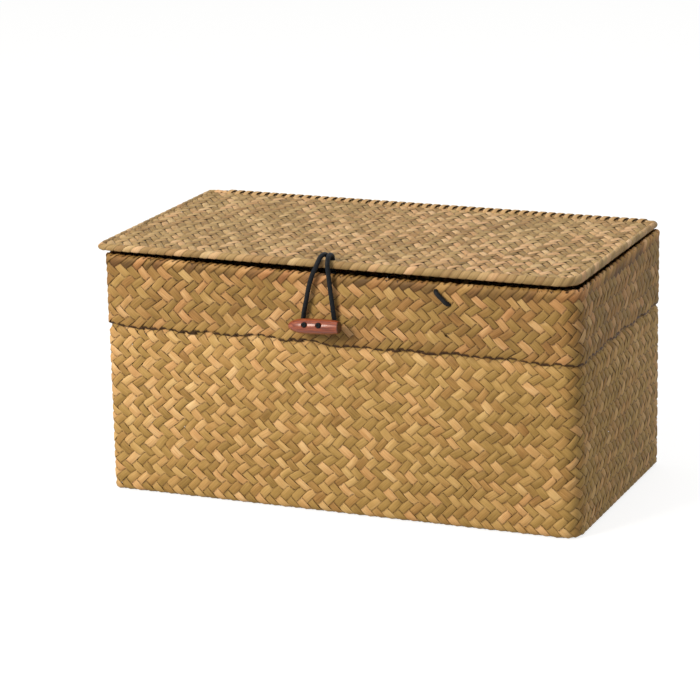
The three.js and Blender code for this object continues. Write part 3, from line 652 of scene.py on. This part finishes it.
def smooth_route(points, spacing):
    """Points at even steps along a smooth curve through given ones."""
    points = np.array(points, float)
    ends = np.concatenate([[2 * points[0] - points[1]], points, [2 * points[-1] - points[-2]]])
    knots = np.concatenate([[0], np.cumsum(np.sqrt(np.linalg.norm(np.diff(ends, axis=0), axis=1)))])

    def mixed(near, far, start, end, at):
        return ((end - at) * near + (at - start) * far) / (end - start)

    curve = []
    for index in range(len(points) - 1):
        p, t = ends[index:index + 4], knots[index:index + 4]
        at = np.linspace(t[1], t[2], 12, endpoint=False)[:, None]
        first = [mixed(p[i], p[i + 1], t[i], t[i + 1], at) for i in range(3)]
        second = [mixed(first[i], first[i + 1], t[i], t[i + 2], at) for i in range(2)]
        curve.append(mixed(second[0], second[1], t[1], t[2], at))
    curve = np.concatenate(curve + [points[-1:]])
    travelled = np.concatenate([[0], np.cumsum(np.linalg.norm(np.diff(curve, axis=0), axis=1))])
    even = np.linspace(0, travelled[-1], max(int(travelled[-1] / spacing), 2) + 1)
    return np.stack([np.interp(even, travelled, curve[:, axis]) for axis in range(3)], -1)


def braided(points, diameter):
    """A braided cord along a route, for a mesh of cords. Its strands cross in two spirals."""
    route = smooth_route(points, CORD_STEP)
    run = np.gradient(route, axis=0)
    run /= np.linalg.norm(run, axis=1)[:, None]
    side = np.empty_like(run)
    last = np.cross(run[0], [0.31, 0.52, 0.79])
    for index, direction in enumerate(run):
        last = last - direction * np.dot(last, direction)
        last = last / np.linalg.norm(last)
        side[index] = last
    up = np.cross(run, side)
    angle = -np.arange(CORD_SIDES) * 2 * math.pi / CORD_SIDES
    spiral = 2 * math.pi * np.arange(len(route))[:, None] * CORD_STEP / BRAID_LAY
    strands = CORD_CARRIERS / 2 * angle[None, :]
    ridges = np.maximum(np.cos(strands + spiral), np.cos(strands - spiral))
    radius = diameter / 2 * (1 + BRAID_RELIEF_SHARE * (ridges - 1))
    ring = route[:, None, :] + radius[..., None] * (
        np.cos(angle)[None, :, None] * side[:, None, :]
        + np.sin(angle)[None, :, None] * up[:, None, :])
    return {"rings": ring, "across": -angle * diameter / 2, "tint": (0.5, 0.0, 0.0)}


def wound_knot(centre, axis, coil_radius, cord_diameter, turns=2.0):
    """The route of a barrel knot: cord wound round itself, from a centre along an axis."""
    axis = np.array(axis, float)
    first = np.cross(axis, [0.3, 0.8, 0.5])
    first /= np.linalg.norm(first)
    second = np.cross(axis, first)
    angle = np.arange(0, 2 * math.pi * turns + 0.01, math.pi / 4)
    depth = cord_diameter * (0.5 + angle / (2 * math.pi))
    coil = (np.array(centre) + coil_radius * np.cos(angle)[:, None] * first
            + coil_radius * np.sin(angle)[:, None] * second + depth[:, None] * axis)
    tail = np.array(centre) + (depth[-1] + 0.4 * cord_diameter) * axis
    return np.concatenate([[np.array(centre, float)], coil, [tail]])


def braided_cover(name, thread, sheen):
    """Black braided cover: fine thread with a faint blue cast, dull, with lighter flecks
    scattered along it."""
    material, tree = new_material(name)
    grain = node(tree, "ShaderNodeAttribute", {"attribute_name": "grain"})
    threads = noise(tree, grain.outputs["Vector"], (1.6, 3.2, 1.0), {"Detail": 3.0})
    shade = node(tree, "ShaderNodeValToRGB", links={"Fac": threads["Fac"]})
    fill_ramp(shade, thread)
    surfaced(tree, shade.outputs["Color"], threads["Fac"], 0.6, 0.15,
             {"Roughness": 0.6, "IOR": 1.4, "Specular IOR Level": 0.3,
              "Sheen Weight": sheen, "Sheen Roughness": 0.4})
    return material


# Black cord of the stitch and the toggle
black_braid = braided_cover("braided_black_cord", [(0.3, "#040506"), (0.55, "#0a0c0f"),
                                                   (0.8, "#171b21")], 0.05)
upper, lower = np.array(STITCH_HOLES)
stitch_route = []
for share, y in ((0.0, INNER_FRONT_Y), (0.0, FRONT_Y + 0.4), (0.12, FRONT_Y - 1.7),
                 (0.5, FRONT_Y - 2.0), (0.88, FRONT_Y - 1.7), (1.0, FRONT_Y + 0.4),
                 (1.0, INNER_FRONT_Y)):
    x, height = upper + (lower - upper) * share
    stitch_route.append((x, y, height))
strip_mesh("front_stitch_cord", [braided(stitch_route, STITCH_DIAMETER)], black_braid, "basket",
           "front_stitch")
for name, (x, height) in (("stitch_knot_upper", upper), ("stitch_knot_lower", lower)):
    route = wound_knot((x, INNER_FRONT_Y, height), (0, 1, 0), STITCH_KNOT_COIL,
                       KNOT_CORD_DIAMETER, STITCH_KNOT_TURNS)
    strip_mesh(name + "_cord", [braided(route, KNOT_CORD_DIAMETER)], black_braid, "basket", name)

# The toggle's cord: doubled black cord that comes from the toggle's two holes, goes together
# through the wall and ends in a knot inside it, so that the toggle can turn.
TOGGLE_X = -11.4
TOGGLE_Y = -113.0
TOGGLE_HEIGHT = 148.88
TOGGLE_TILT = math.radians(-2.7)
TOGGLE_ROLL = math.radians(-24)
TOGGLE_LENGTH = 40.5
TOGGLE_DIAMETER = 11.6
TOGGLE_HOLE_SPACING = 11.4
TOGGLE_CORD_DIAMETER = 2.6
INNER_KNOT_COIL = 2.7
INNER_KNOT_SET_BACK = 0.3

toggle_frame = (Matrix.Translation(Vector((TOGGLE_X, TOGGLE_Y, TOGGLE_HEIGHT)))
                @ Matrix.Rotation(TOGGLE_TILT, 4, "Y") @ Matrix.Rotation(TOGGLE_ROLL, 4, "X"))
strands = []
for hand in (-1, 1):
    through = [toggle_frame @ Vector((hand * TOGGLE_HOLE_SPACING / 2, y, 0))
               for y in (-4.6, -2.3, 0.0, 2.3, 4.6, 5.8, 7.0)]
    route = [tuple(point) for point in through]
    route += [(TOGGLE_X + hand * 2.2, -104.6, TOGGLE_HEIGHT - 0.65),
              (TOGGLE_X + hand * 1.45, -101.3, TOGGLE_HEIGHT),
              (TOGGLE_X + hand * 1.45, -95.0, TOGGLE_HEIGHT)]
    strands.append(braided(route, TOGGLE_CORD_DIAMETER))
inner_knot = wound_knot((TOGGLE_X, INNER_FRONT_Y + INNER_KNOT_SET_BACK, TOGGLE_HEIGHT),
                        (0, 1, 0), INNER_KNOT_COIL, TOGGLE_CORD_DIAMETER)
strands.append(braided(inner_knot, TOGGLE_CORD_DIAMETER))
strip_mesh("toggle_cord_braid", strands, black_braid, "toggle", "toggle_cord")

# The toggle: a turned barrel of stained wood, blunt at its left tip and cut flat at its right
# end, drilled with two countersunk holes and finished with a clear gloss.
TOGGLE_TIP_DIAMETER = 4.4
TOGGLE_END_DIAMETER = 9.4
TOGGLE_HOLE_DIAMETER = 3.3
TOGGLE_SINK_DIAMETER = 5.4
TOGGLE_SINK_DEPTH = 1.3
TURNED_SIDES = 72
TURNED_STEPS = 40
DRILL_SIDES = 32
TIP_FULLNESS = 4.0
END_FULLNESS = 2.8
MERGE_DISTANCE = 0.01
FRONT_KNOT_COIL = 0.9
FRONT_KNOT_TURNS = 1.1
FRONT_KNOT_LAY = 1.5
FRONT_KNOT_DEPTH = 1.4


def turned(name, profile, centre, axis, steps):
    """An object turned about an axis from a profile of points in millimetres."""
    shape = bmesh.new()
    spine = [shape.verts.new([value * MM for value in point]) for point in profile]
    edges = [shape.edges.new(pair) for pair in zip(spine[:-1], spine[1:])]
    bmesh.ops.spin(shape, geom=spine + edges, cent=centre, axis=axis, dvec=(0, 0, 0),
                   angle=2 * math.pi, steps=steps, use_merge=True)
    bmesh.ops.remove_doubles(shape, verts=shape.verts[:], dist=MERGE_DISTANCE * MM)
    bmesh.ops.recalc_face_normals(shape, faces=shape.faces[:])
    mesh = bpy.data.meshes.new(name)
    shape.to_mesh(mesh)
    shape.free()
    made = bpy.data.objects.new(name, mesh)
    bpy.context.scene.collection.objects.link(made)
    return made


def turned_barrel():
    """The barrel, turned about its own long axis."""
    half = TOGGLE_LENGTH / 2
    profile = [(-half, 0, 0.0), (-half, 0, TOGGLE_TIP_DIAMETER / 2 - 0.9)]
    for share in np.sin(np.linspace(-math.pi / 2, math.pi / 2, TURNED_STEPS)):
        end = TOGGLE_TIP_DIAMETER if share < 0 else TOGGLE_END_DIAMETER
        fullness = TIP_FULLNESS if share < 0 else END_FULLNESS
        radius = (TOGGLE_DIAMETER - (TOGGLE_DIAMETER - end) * abs(share) ** fullness) / 2
        profile.append((share * (half - 0.45), 0, radius))
    profile += [(half, 0, TOGGLE_END_DIAMETER / 2 - 0.5), (half, 0, 0.0)]
    return turned("toggle_barrel", profile, (0, 0, 0), (1, 0, 0), TURNED_SIDES)


def hole_cutter(x):
    """A drill and its countersink, through the barrel from front to back."""
    reach = TOGGLE_DIAMETER / 2
    flare = (TOGGLE_SINK_DIAMETER - TOGGLE_HOLE_DIAMETER) / 2 / TOGGLE_SINK_DEPTH
    profile = [(x, -reach - 1, 0.0), (x, -reach - 1, TOGGLE_SINK_DIAMETER / 2 + flare),
               (x, -reach + TOGGLE_SINK_DEPTH, TOGGLE_HOLE_DIAMETER / 2),
               (x, reach + 1, TOGGLE_HOLE_DIAMETER / 2), (x, reach + 1, 0.0)]
    return turned("drill", profile, (x * MM, 0, 0), (0, 1, 0), DRILL_SIDES)


def stained_wood(name):
    """Close-grained wood, turned, stained red brown and lacquered: fine darker pores run along
    it under a clear gloss, and the cut ends drink more stain and go nearly black."""
    material, tree = new_material(name)
    place = node(tree, "ShaderNodeTexCoord")
    figure = noise(tree, place.outputs["Object"], (1 / 0.014, 1 / 0.0011, 1 / 0.0011),
                   {"Detail": 5.0, "Roughness": 0.6, "Distortion": 0.4})
    colour = node(tree, "ShaderNodeValToRGB", links={"Fac": figure["Fac"]})
    fill_ramp(colour, [(0.25, "#4d1c0c"), (0.45, "#823819"), (0.62, "#a2502a"), (0.85, "#c07645")])
    parts = node(tree, "ShaderNodeSeparateXYZ", links={"Vector": place.outputs["Object"]})
    at_end = node(tree, "ShaderNodeMapRange",
                  {"From Min": 0.0196, "From Max": 0.0202, "To Min": 0.0, "To Max": 0.85},
                  {"Value": maths(tree, "ABSOLUTE", parts.outputs["X"])})
    stained = node(tree, "ShaderNodeMix", {"data_type": "RGBA", 7: linear("#2a110b")},
                   {"Factor": at_end.outputs["Result"], 6: colour.outputs["Color"]})
    surfaced(tree, stained.outputs[2], figure["Fac"], 0.15, 0.1,
             {"Roughness": 0.34, "IOR": 1.5, "Coat Weight": 0.22, "Coat Roughness": 0.14})
    return material


barrel = turned_barrel()
drills = [hole_cutter(hand * TOGGLE_HOLE_SPACING / 2) for hand in (-1, 1)]
for drill in drills:
    hole = barrel.modifiers.new("hole", "BOOLEAN")
    hole.operation = "DIFFERENCE"
    hole.solver = "EXACT"
    hole.object = drill
bpy.context.view_layer.update()
drilled = bpy.data.meshes.new_from_object(
    barrel.evaluated_get(bpy.context.evaluated_depsgraph_get()))
barrel.modifiers.clear()
barrel.data = drilled
for drill in drills:
    bpy.data.objects.remove(drill)
drilled.shade_smooth()
drilled.set_sharp_from_angle(angle=math.radians(35))
drilled.materials.clear()
drilled.materials.append(stained_wood("turned_stained_wood"))
barrel.matrix_world = toggle_frame.copy()
barrel.matrix_world.translation *= MM
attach(barrel, "toggle")
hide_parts("toggle")

for name, hand in (("toggle_knot_left", -1), ("toggle_knot_right", 1)):
    seat = toggle_frame @ Vector((hand * TOGGLE_HOLE_SPACING / 2,
                                  -TOGGLE_DIAMETER / 2 + FRONT_KNOT_DEPTH, 0))
    outwards = toggle_frame.to_3x3() @ Vector((0, -1, 0))
    route = wound_knot(tuple(seat), tuple(outwards), FRONT_KNOT_COIL, FRONT_KNOT_LAY,
                       FRONT_KNOT_TURNS)
    strip_mesh(name + "_cord", [braided(route, KNOT_CORD_DIAMETER)], black_braid, "toggle", name)

# The lid's panel: one flat layer of the same twill, but with its floats in columns from front to
# back. Along the front and back edges it is plaited over one and under one, which firms them.
LID_LENGTH = 384.5
LID_DEPTH = 204.9
LID_SHIFT = -4.05
LID_RADII = (6.0, 16.0, 6.0, 6.0)
LID_LIFT = 1.7
LID_UNDERSIDE = 190.7
BORDER_DIAMETER = 5.6
BORDER_DROOP = 1.1
LID_COUNTS = (53, 20)
PANEL_INSET = 2.5
PANEL_HEIGHT = 193.6
PANEL_LIFT = 0.72
PANEL_STRIP_THICKNESS = 1.05
PANEL_WIDTHS = {1: 1.0, -1: 0.96}
PANEL_PALE_SHARES = {1: 0.4, -1: 0.3}
PANEL_WIDTH_CHANGE = 0.04
PANEL_TILT = 0.18
LOOP_HOLE = (-6.4, -91.05)
LOOP_HOLE_RADIUS = 2.7


def lifted(points):
    """The lid's top twists a little, with its front right corner the highest, and its underside
    droops towards the front, where the border is fuller."""
    right = np.clip(0.5 + points[..., 0] / LID_LENGTH, 0, 1)
    front = np.clip(0.5 - points[..., 1] / LID_DEPTH, 0, 1)
    top = np.clip((points[..., 2] - LID_UNDERSIDE) / BORDER_DIAMETER, 0, 1)
    moved = points.copy()
    moved[..., 2] += (LID_LIFT * right * top - BORDER_DROOP * (1 - top)) * front
    return moved


def on_lid(across, back, lift):
    """A point of the lid's panel, in strips from its front left corner, held inside the round
    corners of its edge."""
    half = np.array([LID_LENGTH / 2 - PANEL_INSET, LID_DEPTH / 2 - PANEL_INSET])
    drift = 0.10 * np.sin(0.31 * across + 0.5 * back) + 0.07 * np.sin(0.9 * back - 0.2 * across)
    x = (2 * (across + drift) / LID_COUNTS[0] - 1) * half[0]
    y = (2 * (back + 0.6 * drift) / LID_COUNTS[1] - 1) * half[1]
    radius = np.where((x > 0) & (y < 0), LID_RADII[1], LID_RADII[0]) - PANEL_INSET
    beyond = np.stack([np.abs(x) - half[0] + radius, np.abs(y) - half[1] + radius], -1)
    distance = np.linalg.norm(np.maximum(beyond, 0), axis=-1)
    pull = np.where(distance > radius, radius / np.maximum(distance, 0.001), 1.0)
    held = np.where(beyond > 0, beyond * pull[..., None], beyond)
    x = np.sign(x) * (held[..., 0] + half[0] - radius) + LID_SHIFT
    y = np.sign(y) * (held[..., 1] + half[1] - radius)
    z = PANEL_HEIGHT + lift + 0.35 * np.sin(across / 7) * np.sin(back / 3 + 1)
    return spread(lifted(np.stack([x, y, z], -1)), 0, 1, LOOP_HOLE, LOOP_HOLE_RADIUS)


def lid_over(across, back, leans_right):
    """Whether a strip of the lid passes over the one that it crosses."""
    place = np.round(2 * across).astype(int)
    column = np.mod(place, 4)
    twill = np.where(leans_right, column >= 2, column <= 1)
    plain = (np.mod(place, 2) == 1) == leans_right
    return np.where(np.minimum(back, LID_COUNTS[1] - back) < 1, plain, twill)


# The lid's seagrass has faded in the light and is greyer than the walls.
lid_greenish = [(0.0, "#735a34"), (0.35, "#a48757"), (0.65, "#c4a573"), (1.0, "#e0c597")]
lid_reddish = [(0.0, "#7f5634"), (0.35, "#b28659"), (0.65, "#d0a577"), (1.0, "#ebc99f")]
# In its creases and along its stems' edges the painted shade is a dark brown.
lid_grass = seagrass("plaited_seagrass_lid", lid_greenish, lid_reddish, "#3d240e", 0.7)
for name, slope in (("lid_strips_rising_right", 1), ("lid_strips_rising_left", -1)):
    columns, rows = LID_COUNTS
    strips = []
    for offset in np.arange(0.5 - rows * (slope > 0), columns + rows * (slope < 0)):
        low = max(0.0, offset if slope > 0 else offset - rows)
        high = min(float(columns), offset + rows if slope > 0 else offset)
        across = np.arange(low, high + PAST_END, PATH_STEP)
        back = (across - offset) * slope
        heading = np.tile([1.0, float(slope)], (len(across), 1))
        over = lid_over(across[::2], back[::2], slope > 0)
        width = PANEL_WIDTHS[slope] + varied(PANEL_WIDTH_CHANGE)
        lift = waved(over, PANEL_LIFT)
        ring = rings(on_lid, np.stack([across, back], -1), left_of(heading), lift,
                     width * (1 + by_float(lift, PANEL_WIDTH_CHANGE)), PANEL_STRIP_THICKNESS,
                     by_float(lift, PANEL_TILT)[:, None])
        pale = chance.random() < PANEL_PALE_SHARES[slope]
        strips.append(stem(ring, width, pale, lift))
    strip_mesh(name, strips, lid_grass, "lid", "lid_panel")

# The lid's border: the ends of its strips are rolled round and tucked back, each over the next,
# which makes a firm round edge about 5.6 mm thick.
BORDER_INSET = 2.8
BORDER_HEIGHT = 193.5
BORDER_RADIUS = 1.95
BORDER_FOLD_THICKNESS = 0.8
BORDER_TILT = -0.2
BORDER_ADVANCE = 1.5
LACING_SPAN = 356.0
BORDER_FOLD_WIDTH = 1.12
BORDER_WIDTH_CHANGE = 0.05
BORDER_RINGS = 15
BORDER_PALE_SHARE = 0.3


def on_border(distance, turn, lift):
    """A point of the border, for a distance round the lid in folds and a turn round the roll:
    nought is its outer side and a quarter turn its top."""
    side, share = split_round(distance, LID_COUNTS)
    radius = BORDER_RADIUS + lift
    flat = outline(side, share, LID_LENGTH, LID_DEPTH, BORDER_INSET - radius * np.cos(turn),
                   LID_RADII)
    height = BORDER_HEIGHT + radius * np.sin(turn)
    point = np.concatenate([flat, height[..., None]], -1)
    point[..., 0] += LID_SHIFT
    return lifted(point)


# The same faded seagrass, with painted shade where its folds are tucked in
border_grass = seagrass("rolled_seagrass_edge", lid_greenish, lid_reddish, "#2e1c0c")
strips = []
for fold in range(2 * sum(LID_COUNTS)):
    turn = np.radians(np.linspace(-100, 205, BORDER_RINGS))
    share = np.linspace(0, 1, BORDER_RINGS)
    path = np.stack([fold + BORDER_ADVANCE * share, turn], -1)
    width = BORDER_FOLD_WIDTH + varied(BORDER_WIDTH_CHANGE)
    lift = np.interp(share, [0, 0.1, 0.9, 1], [-0.5, 0.3, 0.3, -0.5])
    ring = rings(on_border, path, np.tile([-0.5, 0.0], (BORDER_RINGS, 1)), lift - 0.3, width,
                 BORDER_FOLD_THICKNESS, BORDER_TILT)
    roll = stem(ring, 0.95 * width, chance.random() < BORDER_PALE_SHARE, lift)
    # Along the back it is in the shade of the lacing.
    laced = np.abs(ring[:, :, 0]) < LACING_SPAN / 2
    roll["tint"][..., 2] += laced * np.interp(ring[:, :, 1], [97.5, 98.5], [0, 0.7])
    strips.append(roll)
strip_mesh("lid_border_folds", strips, border_grass, "lid", "lid_border")

# The latch loop: black braided elastic, knotted under the lid. It comes up through the lid,
# goes over its front edge and down the wall, and hooks behind the toggle.
LOOP_DIAMETER = 3.6
LOOP_ROUTE = [
    (-8.2, -91.1, 196.7), (-8.4, -92.6, 198.2), (-8.7, -95.0, 199.5), (-9.2, -98.4, 200.0),
    (-9.9, -102.2, 198.7), (-10.9, -104.8, 195.4), (-12.4, -105.2, 191.6), (-14.4, -105.1, 188.0),
    (-17.9, -104.8, 178.5), (-21.2, -104.3, 165.0), (-23.6, -103.8, 154.4), (-24.0, -103.6, 149.6),
    (-22.1, -103.6, 145.1), (-17.6, -103.6, 143.2), (-11.4, -103.6, 143.2), (-5.2, -103.6, 143.2),
    (-0.7, -103.6, 145.1), (1.2, -103.6, 149.6), (0.8, -103.8, 154.4), (-0.5, -104.3, 167.0),
    (-1.8, -104.8, 180.0), (-2.6, -105.1, 188.6), (-2.9, -105.2, 191.8), (-3.2, -104.8, 195.4),
    (-3.6, -102.2, 198.7), (-4.1, -98.4, 200.0), (-4.4, -95.0, 199.5), (-4.5, -92.6, 198.2),
    (-4.6, -91.1, 196.7),
]
loop_path = smooth_route(LOOP_ROUTE, CORD_STEP) * MM
# Braided cover of the elastic, a little bluer than the cord
elastic_braid = braided_cover("braided_black_elastic", [(0.3, "#040608"), (0.55, "#0a0f15"),
                                                        (0.8, "#18222c")], 0.05)
loop = strip_mesh("latch_loop_elastic", [braided(LOOP_ROUTE, LOOP_DIAMETER)], elastic_braid,
                  "loop", "latch_loop")
tuple(loop_path[0])
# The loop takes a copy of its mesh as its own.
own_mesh(loop)

# The loop's knot under the lid, with the two ends of the elastic that come up from it.
KNOT_TOP = 192.4
KNOT_STUB_TOP = 196.4
KNOT_STUB_DEPTH = 2.5
LOOP_KNOT_COIL = 2.7
LOOP_KNOT_CORD = 3.0
route = wound_knot((LOOP_HOLE[0], LOOP_HOLE[1], KNOT_TOP), (0, 0, -1), LOOP_KNOT_COIL,
                   LOOP_KNOT_CORD)
knot_cords = [braided(route, LOOP_KNOT_CORD)]
for x in (LOOP_ROUTE[0][0], LOOP_ROUTE[-1][0]):
    stub = [(x, LOOP_HOLE[1], height)
            for height in (KNOT_TOP - KNOT_STUB_DEPTH, KNOT_TOP, KNOT_STUB_TOP)]
    knot_cords.append(braided(stub, LOOP_DIAMETER))
strip_mesh("loop_knot_elastic", knot_cords, elastic_braid, "lid", "loop_knot")

# The lacing that hinges the lid: one long seagrass strand, whipped round the lid's back border
# and through the wall below the rim.
LACING_TURNS = 48
LACING_START_SHARE = 0.25
LACING_HALF_WIDTH = 1.9
LACING_THICKNESS = 0.9
LACING_STEP = 1.3


def lacing_route():
    """Points of the strand's middle: up inside, over the border, down the back and in again."""
    pitch = LACING_SPAN / LACING_TURNS
    # Place from front to back, height, and share of the pitch travelled, for one turn
    turn_points = ((94.6, 181.0, 0.0), (94.4, 191.5, 0.05), (94.8, 194.8, 0.1),
                   (97.2, 196.3, 0.2), (99.6, 196.5, 0.4), (101.7, 195.7, 0.55),
                   (102.7, 193.5, 0.65), (102.6, 190.0, 0.75), (102.2, 184.0, 0.9),
                   (102.0, 179.8, 1.0), (100.8, 178.6, 1.0), (96.0, 178.6, 1.0))
    return [(-LACING_SPAN / 2 + pitch * (turn + LACING_START_SHARE + share), y, z)
            for turn in range(LACING_TURNS) for y, z, share in turn_points]


lacing_middle = smooth_route(lacing_route(), LACING_STEP)
run = np.gradient(lacing_middle, axis=0)
run /= np.linalg.norm(run, axis=1)[:, None]
outward = np.stack([np.zeros(len(run)), -run[:, 2], run[:, 1]], -1)
outward /= np.linalg.norm(outward, axis=1)[:, None]
left = np.cross(outward, run)
ring = (lacing_middle[:, None, :]
        + left[:, None, :] * (STRIP_ACROSS * LACING_HALF_WIDTH)[None, :, None]
        + outward[:, None, :] * (STRIP_HEIGHT * LACING_THICKNESS)[None, :, None])
# One stem of the lid's seagrass
lacing_grass = seagrass("laced_seagrass_strand", lid_greenish, lid_reddish, PAINTED_CREASE_SHADE)
lacing = strip_mesh("hinge_lacing_strand",
                    [{"rings": ring, "across": STRIP_ACROSS * LACING_HALF_WIDTH,
                      "tint": (0.55, -0.1, 0.0)}],
                    lacing_grass, None, "hinge_lacing")
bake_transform(lacing)

# Camera, lights and floor: a bright sweep in a plain room, lit softly from the left front.
CAMERA_PLACE = Vector((0.82553, -2.02980, 0.70673))
CAMERA_RIGHT = Vector((0.92327, 0.38366, -0.01931))
CAMERA_DOWN = Vector((0.08478, -0.25254, -0.96387))
CAMERA_AHEAD = Vector((-0.37468, 0.88827, -0.26569))

lens = bpy.data.cameras.new("camera")
lens.sensor_width = 36.0
lens.lens = 151.06
camera = bpy.data.objects.new("camera", lens)
turned = Matrix((CAMERA_RIGHT, -CAMERA_DOWN, -CAMERA_AHEAD)).transposed().to_4x4()
camera.matrix_world = Matrix.Translation(CAMERA_PLACE) @ turned
bpy.context.scene.collection.objects.link(camera)
bpy.context.scene.camera = camera


def area_light(name, place, aim, size, power, colour):
    """A soft square light that faces a point."""
    light = bpy.data.lights.new(name, "AREA")
    light.size = size
    light.energy = power
    light.color = linear(colour)[:3]
    made = bpy.data.objects.new(name, light)
    made.location = place
    made.rotation_euler = (Vector(aim) - Vector(place)).to_track_quat("-Z", "Y").to_euler()
    bpy.context.scene.collection.objects.link(made)


area_light("key_light", (-1.0, -1.8, 1.25), (0, 0, 0.1), 0.8, 46, "#fff6ea")
area_light("top_light", (0.1, 0.3, 1.9), (0, 0, 0.1), 1.2, 8, "#ffffff")


def seen_share(tree):
    """A share of 1 where the camera sees a surface, straight or in gloss or glass, or else 0."""
    rays = node(tree, "ShaderNodeLightPath")
    seen = maths(tree, "MAXIMUM", rays.outputs["Is Camera Ray"], rays.outputs["Is Glossy Ray"])
    return maths(tree, "MAXIMUM", seen, rays.outputs["Is Transmission Ray"])


world = bpy.data.worlds.new("pale_room")
bpy.context.scene.world = world
world.use_nodes = True
tree = world.node_tree
tree.nodes.clear()
strength = node(tree, "ShaderNodeMapRange", {"To Min": 0.42, "To Max": 1.05},
                {"Value": seen_share(tree)})
background = node(tree, "ShaderNodeBackground", {"Color": (1, 1, 1, 1)},
                  {"Strength": strength.outputs["Result"]})
node(tree, "ShaderNodeOutputWorld", links={"Surface": background.outputs["Background"]})

floor_mesh = bpy.data.meshes.new("floor")
shape = bmesh.new()
bmesh.ops.create_grid(shape, x_segments=2, y_segments=2, size=6.0)
shape.to_mesh(floor_mesh)
shape.free()
floor = bpy.data.objects.new("floor", floor_mesh)
bpy.context.scene.collection.objects.link(floor)
floor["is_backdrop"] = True
paper, tree = new_material("white_paper_sweep")
glow = node(tree, "ShaderNodeEmission", {"Color": (1, 1, 1, 1)},
            {"Strength": maths(tree, "MULTIPLY", seen_share(tree), 1.45)})
matt = node(tree, "ShaderNodeBsdfDiffuse", {"Color": linear("#e4e4e2")})
both = node(tree, "ShaderNodeMixShader", {"Fac": 0.56},
            {1: matt.outputs["BSDF"], 2: glow.outputs["Emission"]})
node(tree, "ShaderNodeOutputMaterial", links={"Surface": both.outputs["Shader"]})
floor_mesh.materials.append(paper)

bpy.context.scene.view_settings.view_transform = "Standard"


def corners(box):
    """A box's two corners as plain lists."""
    return [[float(value) for value in corner] for corner in box]


{"cad": corners(cad_box), "visual": corners(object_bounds())}
